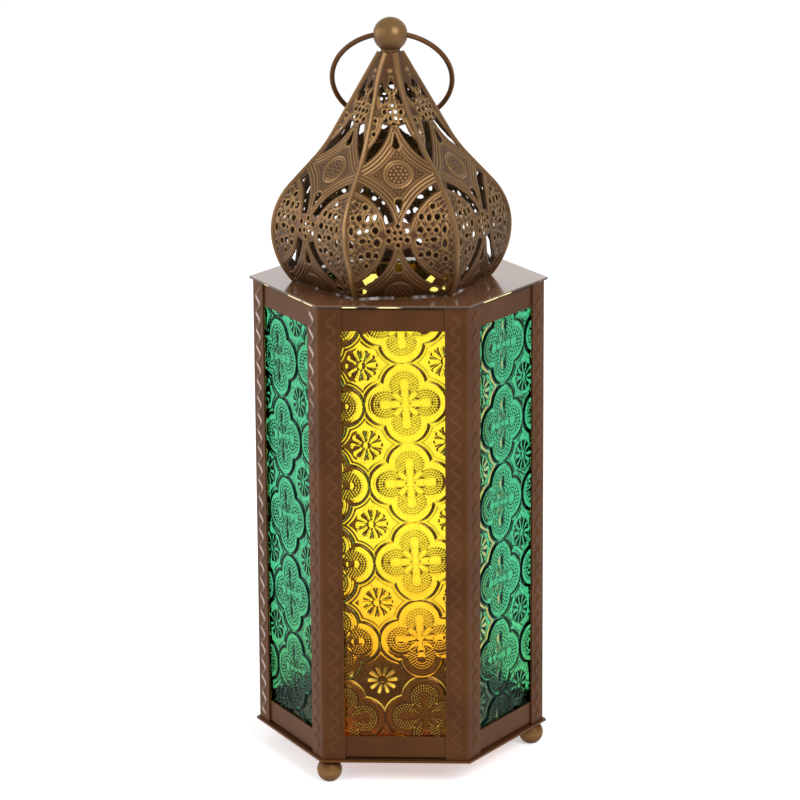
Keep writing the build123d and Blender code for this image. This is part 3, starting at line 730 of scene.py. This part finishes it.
def domeLine():
    # up the petal's middle: length along it, distance from the axis, height, and outward slope
    lean = math.radians(dome["shoulderAngle"])
    belly = np.array([dome["bellyFlat"] - dome["bellyCurve"], dome["bellyHeight"]])
    normal = np.array([math.cos(lean), math.sin(lean)])
    slope = np.array([-math.sin(lean), math.cos(lean)])
    waist = belly + normal * dome["bellyCurve"] + slope * dome["shoulderRun"]
    spire = math.atan2(waist[0] - dome["neckFlat"], dome["height"] - waist[1])
    middle = (spire + lean) / 2
    reach = dome["waistCurve"] / math.cos(lean - middle)
    centre = waist + np.array([math.cos(middle), math.sin(middle)]) * reach
    hemCentre = np.array([dome["bellyFlat"] - dome["hemCurve"], dome["bellyHeight"]])

    def arc(point, radius, start, end):
        leans = np.linspace(start, end, dome["arcPoints"])
        return point + radius * np.column_stack([np.cos(leans), np.sin(leans)]), leans

    arcs = [arc(hemCentre, dome["hemCurve"], -math.asin(dome["bellyHeight"] / dome["hemCurve"]), 0),
            arc(belly, dome["bellyCurve"], 0.001, lean), arc(centre, -dome["waistCurve"], lean, spire)]
    line = np.vstack([points for points, _ in arcs] + [[[dome["neckFlat"], dome["height"]]]])
    leans = np.concatenate([turns for _, turns in arcs] + [[spire]])
    length = np.concatenate([[0], np.cumsum(np.hypot(*np.diff(line, axis=0).T))])
    return length, line[:, 0], line[:, 1], leans


lineLength, lineFlat, lineHeight, lineLean = domeLine()
domeLength = lineLength[-1]


def domeAt(s):
    return [np.interp(s, lineLength, values) for values in (lineFlat, lineHeight, lineLean)]


# the front seams wander a little, as the hand-bent sheet does: height up the dome and turn in degrees
seams = dict(
    front_right=(
        (0, 13, 23, 37, 54, 65, 74, 84, 95, 101),
        (-0.5, -2.5, -3.4, -3.8, -2.8, -6.0, -10.5, -14.5, -16.0, -10.0)),
    front_left=((0, 13, 23, 33, 74, 84, 95, 101), (2.6, 3.2, 1.7, 0.2, -1.0, -3.0, -10.0, -8.0)))
seamReach = 60  # degrees to the next seam, which stays


def wanderSeams(piece):
    points = getPoints(piece) / mm
    x, y = points[:, 0] - domeX, points[:, 1] - domeY
    angle = np.degrees(np.arctan2(y, x))
    turn = np.zeros(len(points))
    for corner, (heights, turns) in seams.items():
        apart = np.abs((angle - cornerAngles[corner] - dome["turn"] + 180) % 360 - 180)
        turn += np.interp(points[:, 2] - domeFloor, heights, turns) * np.clip(1 - apart / seamReach, 0, 1)
    turn = np.radians(turn)
    points[:, 0] = domeX + x * np.cos(turn) - y * np.sin(turn)
    points[:, 1] = domeY + x * np.sin(turn) + y * np.cos(turn)
    setPoints(piece, points * mm)


# where the piercing lies on the flat sheet, a little askew: across from its middle and up from the hem
piercing = dict(
    knotRow=30.7, medallionRow=59.2, middle=((15, 31, 43, 82), (-2.1, -1.1, 0.2, 1.2)), arch=(31.5, 3.2),
    band=(29.0, 1.9), bandFrom=17.8, bandTo=59.0, drop=((0, 9.7), (0, 14.8), 1.65), dropTip=0.1,
    crescentsTo=100, rowsTo=80, knotsTo=60, noCut=9.0,
    knotHoles=((0, 4.1, 0.95, 0.9), (4.3, 2.0, 1.05, 1.0), (1.35, 1.35, 0.8, 0.75)),
    topHoles=(
        (0, 82.4, 1.1, 0.55), (9.3, 84.0, 0.75, 0.9), (4.0, 84.0, 0.95, 1.05), (1.45, 85.0, 0.72, 0.9),
        (4.3, 87.9, 0.9, 1.0), (1.5, 87.9, 0.9, 0.95), (0.0, 90.7, 1.05, 0.6), (4.8, 92.4, 0.85, 0.9),
        (2.7, 92.3, 0.45, 0.5), (4.5, 94.7, 0.85, 0.95), (0, 96.2, 0.5, 0.5), (2.2, 95.3, 0.5, 0.7),
        (4.1, 97.4, 0.7, 0.45), (10.2, 78.0, 0.75, 0.9)),
    topWedges=(((0.4, 102.6), (0.4, 99.0), 1.3), ((4.9, 102.5), (4.6, 99.8), 0.75)),
    latticeHoles=(
        (15.4, 43.5, 1.15, 1.2), (18.0, 38.7, 1.2, 1.35), (14.2, 38.5, 0.95, 1.55), (10.6, 38.8, 1.1, 1.3),
        (21.0, 38.9, 0.75, 0.8), (17.8, 32.9, 1.0, 1.0), (14.3, 33.2, 1.0, 0.75), (10.4, 33.1, 1.35, 1.4),
        (21.6, 33.2, 0.8, 1.5), (16.7, 28.9, 1.5, 0.9), (13.6, 28.6, 0.65, 0.6), (9.9, 27.9, 1.4, 1.5),
        (21.9, 27.2, 0.9, 1.7), (10.6, 22.2, 1.1, 1.05), (14.2, 22.7, 1.2, 1.35), (17.7, 21.8, 1.1, 1.15),
        (15.4, 17.8, 0.8, 0.95), (22.2, 20.2, 0.85, 1.0), (16.5, 4.4, 1.9, 1.5), (21.2, 5.2, 1.05, 1.2),
        (22.3, 10.2, 0.65, 2.0)))
# what stands out between the cuts, as lines round the arch, the drop and the medallion
embossing = dict(
    height=0.45, beadPitch=1.2, beadRadius=32, beadLow=0.4,
    ropes=((25.9, 0.42, 0.9), (24.7, 0.36, 0.7), (33.5, 0.4, 0.9)), beadedRope=(31.9, 0.45, 0.95),
    outerRope=(35.2, 0.42, 0.9), outerBeaded=(36.6, 0.4, 0.8), ropesFrom=(9, 4), ropesTo=(100, -3),
    dropRope=(0.75, 0.36, 0.9), dropGap=(0.9, 0.5), rosette=((6.4, 0.42, 1.0), (5.2, 0.36, 0.8)),
    rosetteBeads=((12, 3.7), (6, 1.95), (1, 0.0)), beadWidth=0.5, rosetteEdge=7.0, ropesBeyond=6.9,
    groundBeyond=7.2, groundPitch=1.4, groundBead=0.3, ground=0.6, groundReach=37.4, groundFrom=20,
    weavePitch=3.5, weaveWidth=0.34, weave=0.75, weaveShift=(-1.2, 0.6), weaveBend=0.6,
    weaveWaves=(0.9, 1.05), lattice=(23.4, 0.3), rim=(0.5, 0.4, 1.0), rimGap=0.8, holeGap=(0.1, 0.6),
    cutGap=(0.3, 0.5), boss=(0.6, 106.5, 1.1, 1.1, 1.0), gable=(0.4, 0.4, 0.8), gableSlope=0.28,
    gableSpan=(92, 104.5))


def holeGap(x, y, hole):
    # rough distance to an oval hole's edge
    return (ovalShare(x, y, hole) - 1) * min(hole[2], hole[3])


def dropGap(x, y, tip, end, radius):
    # distance to the edge of a drop that widens from its tip to its round end
    axis = np.array(end) - np.array(tip)
    t = np.clip(((x - tip[0]) * axis[0] + (y - tip[1]) * axis[1]) / (axis @ axis), 0, 1)
    width = radius * (piercing["dropTip"] + (1 - piercing["dropTip"]) * t)
    return np.hypot(x - tip[0] - t * axis[0], y - tip[1] - t * axis[1]) - width


def petalNet(u, s):
    # place in the repeat: across from the middle, up from the row of knots, and round the arch beside it
    w = np.abs(u - np.interp(s, *piercing["middle"]))
    rowHalf = piercing["medallionRow"] - piercing["knotRow"]
    t = np.abs((s - piercing["knotRow"] + rowHalf) % (2 * rowHalf) - rowHalf)
    archAcross, archUp = piercing["arch"]
    reach = np.hypot(w - archAcross, t + archUp)
    swing = np.degrees(np.arctan2(t + archUp, archAcross - w))
    return SimpleNamespace(u=u, s=s, w=w, t=t, reach=reach, swing=swing, fromMedallion=rowHalf - t,
                           drop=dropGap(w, t, *piercing["drop"]))


def petalHoles(at):
    # distance to the nearest cut edge, negative inside a cut: the crescents and drops, then the small holes
    p = piercing
    pastEnd = np.abs(at.swing - (p["bandFrom"] + p["bandTo"]) / 2) - (p["bandTo"] - p["bandFrom"]) / 2
    middle, half = p["band"]
    crescents = np.maximum(np.abs(at.reach - middle) - half, np.radians(pastEnd) * middle)
    crescents = np.where(at.s < p["crescentsTo"], crescents, p["noCut"])
    drops = np.where(at.s < p["rowsTo"], at.drop, p["noCut"])
    wedges = np.minimum.reduce([dropGap(at.w, at.s, *wedge) for wedge in p["topWedges"]])
    small = [np.where(at.s < p["knotsTo"], holeGap(at.w, at.t, hole), p["noCut"]) for hole in p["knotHoles"]]
    small += [holeGap(at.w, at.s, hole) for hole in p["topHoles"] + p["latticeHoles"]]
    return np.minimum.reduce([crescents, drops, wedges]), np.minimum.reduce(small)


def ropeRelief(at, rosette):
    # plain and beaded ropes along the crescents, and one round each drop
    e = embossing
    turns = math.pi * np.radians(at.swing) * e["beadRadius"] / e["beadPitch"]
    beads = e["beadLow"] + (1 - e["beadLow"]) * np.cos(turns)**2
    outer = lines(at.reach, e["outerRope"]) + lines(at.reach, e["outerBeaded"]) * beads
    ropes = lines(at.reach, *e["ropes"]) + lines(at.reach, e["beadedRope"]) * beads
    ropes = (ropes + outer * (rosette > e["groundBeyond"])) * ramp(at.swing, *e["ropesFrom"])
    ropes = np.maximum(ropes * ramp(at.drop, *e["dropGap"]), lines(at.drop, e["dropRope"]))
    return ropes * ramp(at.s, *e["ropesTo"])


def rosetteRelief(at, rosette):
    # two rings round beads in each medallion
    relief = lines(rosette, *embossing["rosette"])
    turn = np.arctan2(at.fromMedallion, at.w)
    for count, radius in embossing["rosetteBeads"]:
        spoke = turn * count / (2 * math.pi)
        aside = (spoke - np.round(spoke)) * 2 * math.pi * radius / count
        relief = np.maximum(relief, bump(np.hypot(rosette - radius, aside), embossing["beadWidth"]))
    return relief


def groundRelief(at, rosette):
    # small beads that fill the ground round each medallion
    e = embossing
    across, upward = at.w / e["groundPitch"], at.fromMedallion / e["groundPitch"]
    beads = bump(np.hypot(across - np.round(across), upward - np.round(upward)), e["groundBead"])
    beads = beads * (rosette > e["groundBeyond"]) * (at.reach > e["groundReach"])
    return e["ground"] * beads * (at.s < piercing["rowsTo"]) * (at.s > e["groundFrom"])


def latticeShare(at):
    return step(at.reach, *embossing["lattice"]) * (at.s < piercing["knotsTo"])


def weaveRelief(at):
    # bent wires that cross between the holes of the lattice
    e = embossing
    bendW = at.w + e["weaveBend"] * np.sin(e["weaveWaves"][0] * at.s)
    bendT = at.t + e["weaveBend"] * np.sin(e["weaveWaves"][1] * at.w)
    weave = sum(bump(np.sin(math.pi * (bendW + sign * bendT + shift) / e["weavePitch"]), e["weaveWidth"])
                for sign, shift in zip((1, -1), e["weaveShift"]))
    return e["weave"] * np.clip(weave, 0, 1) * latticeShare(at)


def petalRelief(at, cuts, small):
    # ropes, rosettes, beads and wires, rims round the small holes, and the boss under a gable at the tip
    e = embossing
    rosette = np.hypot(at.w, at.fromMedallion)
    medallion = rosetteRelief(at, rosette) * (rosette < e["rosetteEdge"]) * (at.s < piercing["rowsTo"])
    relief = np.maximum.reduce([ropeRelief(at, rosette) * (rosette > e["ropesBeyond"]), medallion,
                                groundRelief(at, rosette), weaveRelief(at)])
    offHoles = ramp(small, *e["holeGap"])
    relief = np.maximum(relief * offHoles, lines(small, e["rim"]) * (cuts > e["rimGap"]))
    bottom, top = e["gableSpan"]
    gable = lines(at.w - (top - at.s) * e["gableSlope"], e["gable"])
    boss = blots(at.u, at.s, e["boss"]) + gable * (at.s > bottom) * (at.s < top)
    return e["height"] * np.maximum(relief, boss * offHoles * ramp(cuts, *e["cutGap"]))


petal = dict(
    slit=(0.9, 4.0), seamEdge=1.0, slides=2, slideStep=0.03, slideReach=0.55, leastSlope=0.3, keepSeam=0.7,
    keepHem=0.05, keepTip=1.0, cutBelow=-0.01, weld=0.01, seamFade=1.5, tipFade=3.0, dent=0.1,
    dentWaves=((0.31, 0.23), (0.17, -0.29)), paintedShade=0.6, gold=(0.6, 0.05), mostGold=0.58, hemGold=0.22,
    goldFrom=(12, 36))


def petalGap(u, s):
    # distance to the nearest cut, with the light slits under the hem each side of the middle foot
    cuts, small = petalHoles(petalNet(u, s))
    slit = np.maximum(s - petal["slit"][0], petal["slit"][1] - np.abs(u))
    edge = domeAt(s)[0] * sideShare - petal["seamEdge"]
    return np.maximum(np.minimum.reduce([cuts, small, slit]), np.abs(u) - edge), cuts, small


def slideToCuts(u, s, limit):
    # slide points near a cut onto it, so that the cut edges run smoothly
    nudge = petal["slideStep"]
    for _ in range(petal["slides"]):
        gap = petalGap(u, s)[0]
        slopeU = (petalGap(u + nudge, s)[0] - petalGap(u - nudge, s)[0]) / (2 * nudge)
        slopeS = (petalGap(u, s + nudge)[0] - petalGap(u, s - nudge)[0]) / (2 * nudge)
        size = np.maximum(slopeU**2 + slopeS**2, petal["leastSlope"])
        near = (np.abs(gap) < petal["slideReach"] * dome["cell"]) & (np.abs(u) < limit - petal["keepSeam"])
        near &= (s > petal["keepHem"]) & (s < domeLength - petal["keepTip"])
        u = u - np.where(near, gap * slopeU / size, 0)
        s = s - np.where(near, gap * slopeS / size, 0)
    return u, s


def deleteFaces(piece, away):
    editAll(piece)
    bpy.ops.mesh.select_all(action="DESELECT")
    leaveEdit()
    piece.data.polygons.foreach_set("select", away)
    bpy.ops.object.mode_set(mode="EDIT")
    bpy.ops.mesh.select_mode(type="FACE")
    bpy.ops.mesh.delete(type="FACE")
    bpy.ops.mesh.select_all(action="SELECT")
    bpy.ops.mesh.delete_loose()
    bpy.ops.mesh.select_all(action="SELECT")
    bpy.ops.mesh.remove_doubles(threshold=petal["weld"] * mm)
    leaveEdit()


def makePetal(name):
    half = np.max(lineFlat) * sideShare
    rows, columns = int(domeLength / dome["cell"]), int(2 * half / dome["cell"])
    piece, shareU, shareV = gridPiece(name, columns, rows)
    u, s = (shareU - 0.5) * 2 * half, shareV * domeLength
    limit = domeAt(s)[0] * sideShare
    within = np.abs(u) < limit
    u, s = slideToCuts(np.clip(u, -limit, limit), s, limit)
    gap, cuts, small = petalGap(u, s)
    at = petalNet(u, s)
    flat, height, lean = domeAt(s)
    relief = petalRelief(at, cuts, small) * ramp(np.abs(u), flat * sideShare, -petal["seamFade"])
    relief *= ramp(s, domeLength - petal["tipFade"], -petal["tipFade"])
    firstWave, secondWave = [np.sin(wave[0] * u + wave[1] * s) for wave in petal["dentWaves"]]
    out = flat + (relief + petal["dent"] * firstWave * secondWave) * np.cos(lean)
    points = standing(sideAngles["front"] + dome["turn"], out, u, domeFloor + height + relief * np.sin(lean),
                      (domeX, domeY))
    setPoints(piece, points * mm)
    raised = relief / embossing["height"]
    worn = petal["hemGold"] + (1 - petal["hemGold"]) * ramp(s, *petal["goldFrom"])
    # painted shade in the lattice's hollows, between the raised wires
    setShade(piece, "paintedShade", petal["paintedShade"] * latticeShare(at) * np.clip(1 - raised, 0, 1))
    gold = np.clip(raised * petal["gold"][0] - petal["gold"][1], 0, petal["mostGold"])
    setShade(piece, "crest", gold * worn)
    # cut the holes, and what lies beyond the seams
    corners = np.empty(len(piece.data.loops), dtype=np.int32)
    piece.data.loops.foreach_get("vertex_index", corners)
    corners = corners.reshape(-1, 4)
    deleteFaces(piece, (gap[corners].mean(axis=1) < petal["cutBelow"]) | ~within[corners].any(axis=1))
    applyModifier(piece, "SOLIDIFY", thickness=body["sheet"] * mm, offset=-1)
    smoothBy(piece, degrees=50)
    return piece


firstPetal = makePetal("petal_skin_front")
for side, piece in copiesRound(firstPetal, "petal_skin", "front", sideAngles, (domeX, domeY)).items():
    wanderSeams(piece)
    finishPiece(piece, [f"petal_{side}"], domeBronze)
print("petals made", len(firstPetal.data.polygons), "faces each")


# Half-round ribs over the seams

rib = dict(width=3.2, height=1.0, sheet=0.5, rows=130, columns=10, round=2.4, hug=0.95, gold=0.3)


def makeRib(name):
    piece, shareU, shareV = gridPiece(name, rib["columns"], rib["rows"])
    s = shareV * domeLength
    flat, height, lean = domeAt(s)
    fromMiddle = 2 * np.abs(shareU - 0.5)
    across = (shareU - 0.5) * rib["width"]
    rise = rib["height"] * (1 - fromMiddle**rib["round"]) - np.abs(across) * sideShare * rib["hug"]
    reach = flat / math.cos(hexHalf) + rise * np.cos(lean)
    points = standing(cornerAngles["front_right"] + dome["turn"], reach, across,
                      domeFloor + np.maximum(height + rise * np.sin(lean), 0), (domeX, domeY))
    setPoints(piece, points * mm)
    setShade(piece, "crest", np.clip(rib["gold"] - rib["gold"] * fromMiddle, 0, 1))
    applyModifier(piece, "SOLIDIFY", thickness=rib["sheet"] * mm, offset=-1)
    smoothBy(piece, degrees=50)
    return piece


firstRib = makeRib("rib_skin_front_right")
for corner, piece in copiesRound(firstRib, "rib_skin", "front_right", cornerAngles, (domeX, domeY)).items():
    wanderSeams(piece)
    finishPiece(piece, [f"rib_{corner}"], domeBronze)
print("ribs made")


# Ball finial on its neck, drilled for the ring, and the ring itself

finial = dict(
    ball=7.6, neck=4.3, spindle=2.5, rise=7.6, bore=2.04, segments=64, rings=40, boreSegments=32, gold=0.16,
    mostGold=0.3, goldRun=50)
ring = dict(radius=26.5, wire=1.15, segments=128, wireSegments=18, gold=0.05)


def makeFinial():
    neckFoot = domeFloor + dome["height"]
    ballZ = neckFoot + finial["rise"]
    piece = ballPiece("ball_finial", finial["ball"], (0, 0, ballZ), finial["segments"], finial["rings"])
    neckTop = ballZ - math.sqrt(finial["ball"]**2 - finial["neck"]**2)
    editAll(piece)
    bpy.ops.mesh.bisect(plane_co=(0, 0, neckTop * mm), plane_no=(0, 0, 1), clear_inner=True)
    # down the neck, in to the spindle, and down the spindle
    narrow = finial["spindle"] / finial["neck"]
    for width, level in ((1.0, neckFoot), (narrow, neckFoot), (1.0, finialLow[2] / mm)):
        leaveEdit()
        lowest = getPoints(piece)[:, 2].min()
        bpy.ops.object.mode_set(mode="EDIT")
        bpy.ops.mesh.extrude_edges_move(TRANSFORM_OT_translate={"value": (0, 0, level * mm - lowest)})
        bpy.ops.transform.resize(value=(width, width, 1), center_override=(0, 0, level * mm))
    bpy.ops.mesh.edge_face_add()
    faceOutward()
    bpy.ops.transform.translate(value=(domeX * mm, domeY * mm, 0))
    leaveEdit()
    points = getPoints(piece)
    points[:, 2] = np.minimum(points[:, 2], lanternTop * mm)
    setPoints(piece, points)
    deselectAll()
    bpy.ops.mesh.primitive_cylinder_add(vertices=finial["boreSegments"], radius=finial["bore"] * mm,
                                        depth=4 * finial["ball"] * mm, rotation=(0, math.pi / 2, 0),
                                        location=(domeX * mm, domeY * mm, ballZ * mm))
    drill = takeNew("drill")
    applyModifier(piece, "BOOLEAN", operation="DIFFERENCE", object=drill, solver="EXACT")
    bpy.data.objects.remove(drill)
    heights = getPoints(piece)[:, 2] / mm
    # more gold towards the top of the ball
    gold = (heights - ballZ) / finial["goldRun"] + finial["gold"]
    setShade(piece, "crest", np.clip(gold, 0, finial["mostGold"]))
    smoothBy(piece, degrees=40)
    return piece


def makeRing():
    low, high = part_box("carry_ring")
    lean = math.atan2(high[1] - low[1] - 2 * ring["wire"] * mm, high[2] - low[2] - 2 * ring["wire"] * mm)
    centre = (Vector(low) + Vector(high)) / 2
    deselectAll()
    bpy.ops.mesh.primitive_torus_add(major_segments=ring["segments"], minor_segments=ring["wireSegments"],
                                     major_radius=ring["radius"] * mm, minor_radius=ring["wire"] * mm)
    piece = takeNew("ring_wire")
    x, upright, thick = getPoints(piece).T  # stood up, then leaned back
    y = thick * math.cos(lean) - upright * math.sin(lean)
    z = thick * math.sin(lean) + upright * math.cos(lean)
    setPoints(piece, np.column_stack([x + centre.x, y + centre.y, z + centre.z]))
    editAll(piece)
    faceOutward()
    leaveEdit()
    setShade(piece, "crest", np.full(len(x), ring["gold"]))
    smoothBy(piece, degrees=60)
    return piece


finishPiece(makeFinial(), ["finial"], domeBronze)
finishPiece(makeRing(), ["carry_ring"], plainBronze, "handle")
print("finial and ring made")


# Ball feet, soldered under the base plate

foot = dict(radius=5.6, segments=40, rings=24, gold=0.3, goldAt=5.0, goldRun=14)


def makeFoot(name, node):
    low, high = [np.array(corner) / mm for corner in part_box(node)]
    piece = ballPiece(name, foot["radius"], (low + high) / 2, foot["segments"], foot["rings"])
    editAll(piece)
    for level, clear in ((low[2], "clear_inner"), (high[2], "clear_outer")):
        bpy.ops.mesh.select_all(action="SELECT")
        bpy.ops.mesh.bisect(plane_co=(0, 0, level * mm), plane_no=(0, 0, 1), use_fill=True, **{clear: True})
    faceOutward()
    leaveEdit()
    heights = getPoints(piece)[:, 2] / mm
    setShade(piece, "crest", np.clip(foot["gold"] - np.abs(heights - foot["goldAt"]) / foot["goldRun"], 0, 1))
    smoothBy(piece, degrees=40)
    return piece


for corner in ("right", "back_left", "front_left"):
    piece = makeFoot(f"ball_foot_{corner}", f"foot_{corner}")
    finishPiece(piece, [f"foot_{corner}"], plainBronze)
print("feet made")


# Carried-over solids keep their shape and get the paint

# the top plate and the base plate take the looks with painted light
ownPaint = dict(top_plate=toplitPlateBronze, base_plate=amberLitFloorBronze)
for piece in bpy.data.objects:
    if piece.type == "MESH" and piece.name in frame["nodes"]:
        piece.data.materials.clear()
        piece.data.materials.append(ownPaint.get(piece.name, plainBronze))


# Stage, light and camera

stage = dict(
    floor=6.0, floorColour=(0.9, 0.9, 0.9, 1), floorRough=0.9, floorGlow=0.45, white=1.0, soft=0.55)
lamps = dict(
    keyRight=dict(place=(0.9, -1.1, 1.1), target=(0, 0, 0.17), size=0.9, power=22),
    fillLeft=dict(place=(-1.2, -0.9, 0.7), target=(0, 0, 0.17), size=1.2, power=7),
    rimLeft=dict(place=(-1.4, 0.15, 0.5), target=(0, 0, 0.22), size=0.8, power=7))
view = dict(
    distance=1.64897, rise=14.766, roll=-0.3802, turn=2.629, focus=3675.09, image=800, aimX=0.00042,
    aimZ=0.15161, sensor=36, far=20)


def makeFloor():
    deselectAll()
    bpy.ops.mesh.primitive_plane_add(size=stage["floor"], location=(0, 0, 0))
    floor = takeNew("floor")
    material, tree, skin = newMaterial("paleFloor")
    setInputs(tree, skin, Base_Color=stage["floorColour"], Roughness=stage["floorRough"],
              Specular_IOR_Level=0.0, Emission_Color=(1, 1, 1, 1), Emission_Strength=stage["floorGlow"])
    floor.data.materials.append(material)


def makeWorld():
    # white where it is seen, mirrored or seen through glass, and softer as light
    world = bpy.data.worlds.new("whiteStudio")
    bpy.context.scene.world = world
    world.use_nodes = True
    tree = world.node_tree
    tree.nodes.clear()
    path = newNode(tree, "LightPath")
    seen = path.outputs["Is Camera Ray"]
    for ray in ("Is Glossy Ray", "Is Transmission Ray"):
        either = newNode(tree, "Math")
        either.operation = "MAXIMUM"
        feed(tree, either.inputs[0], seen)
        feed(tree, either.inputs[1], path.outputs[ray])
        seen = either.outputs[0]
    soft, white = [newNode(tree, "Background", Color=(1, 1, 1, 1), Strength=stage[name]).outputs[0]
                   for name in ("soft", "white")]
    newNode(tree, "OutputWorld", Surface=addShaderMix(tree, seen, soft, white))


def addLamp(name, place, target, size, power):
    data = bpy.data.lights.new(name, "AREA")
    data.energy = power
    data.size = size
    lamp = addObject(name, data)
    lamp.location = place
    lamp.rotation_euler = (Vector(target) - Vector(place)).to_track_quat("-Z", "Y").to_euler()


def makeCamera():
    data = bpy.data.cameras.new("photoCamera")
    data.sensor_width = view["sensor"]
    data.lens = view["sensor"] * view["focus"] / view["image"]
    data.clip_end = view["far"]
    camera = addObject("photoCamera", data)
    rise = math.radians(view["rise"])
    place = Vector((view["aimX"], -view["distance"] * math.cos(rise),
                    view["aimZ"] + view["distance"] * math.sin(rise)))
    turn = Matrix.Rotation(math.radians(view["turn"]), 4, "Z")
    tilt = Matrix.Rotation(math.pi / 2 - rise, 4, "X")
    roll = Matrix.Rotation(math.radians(view["roll"]), 4, "Z")
    camera.matrix_world = turn @ Matrix.Translation(place + Vector((0, 0, baseUnder * mm))) @ tilt @ roll
    bpy.context.scene.camera = camera


makeFloor()
makeWorld()
for name, lamp in lamps.items():
    addLamp(name, **lamp)
makeCamera()
bpy.context.scene.view_settings.view_transform = "Standard"
print("stage set")
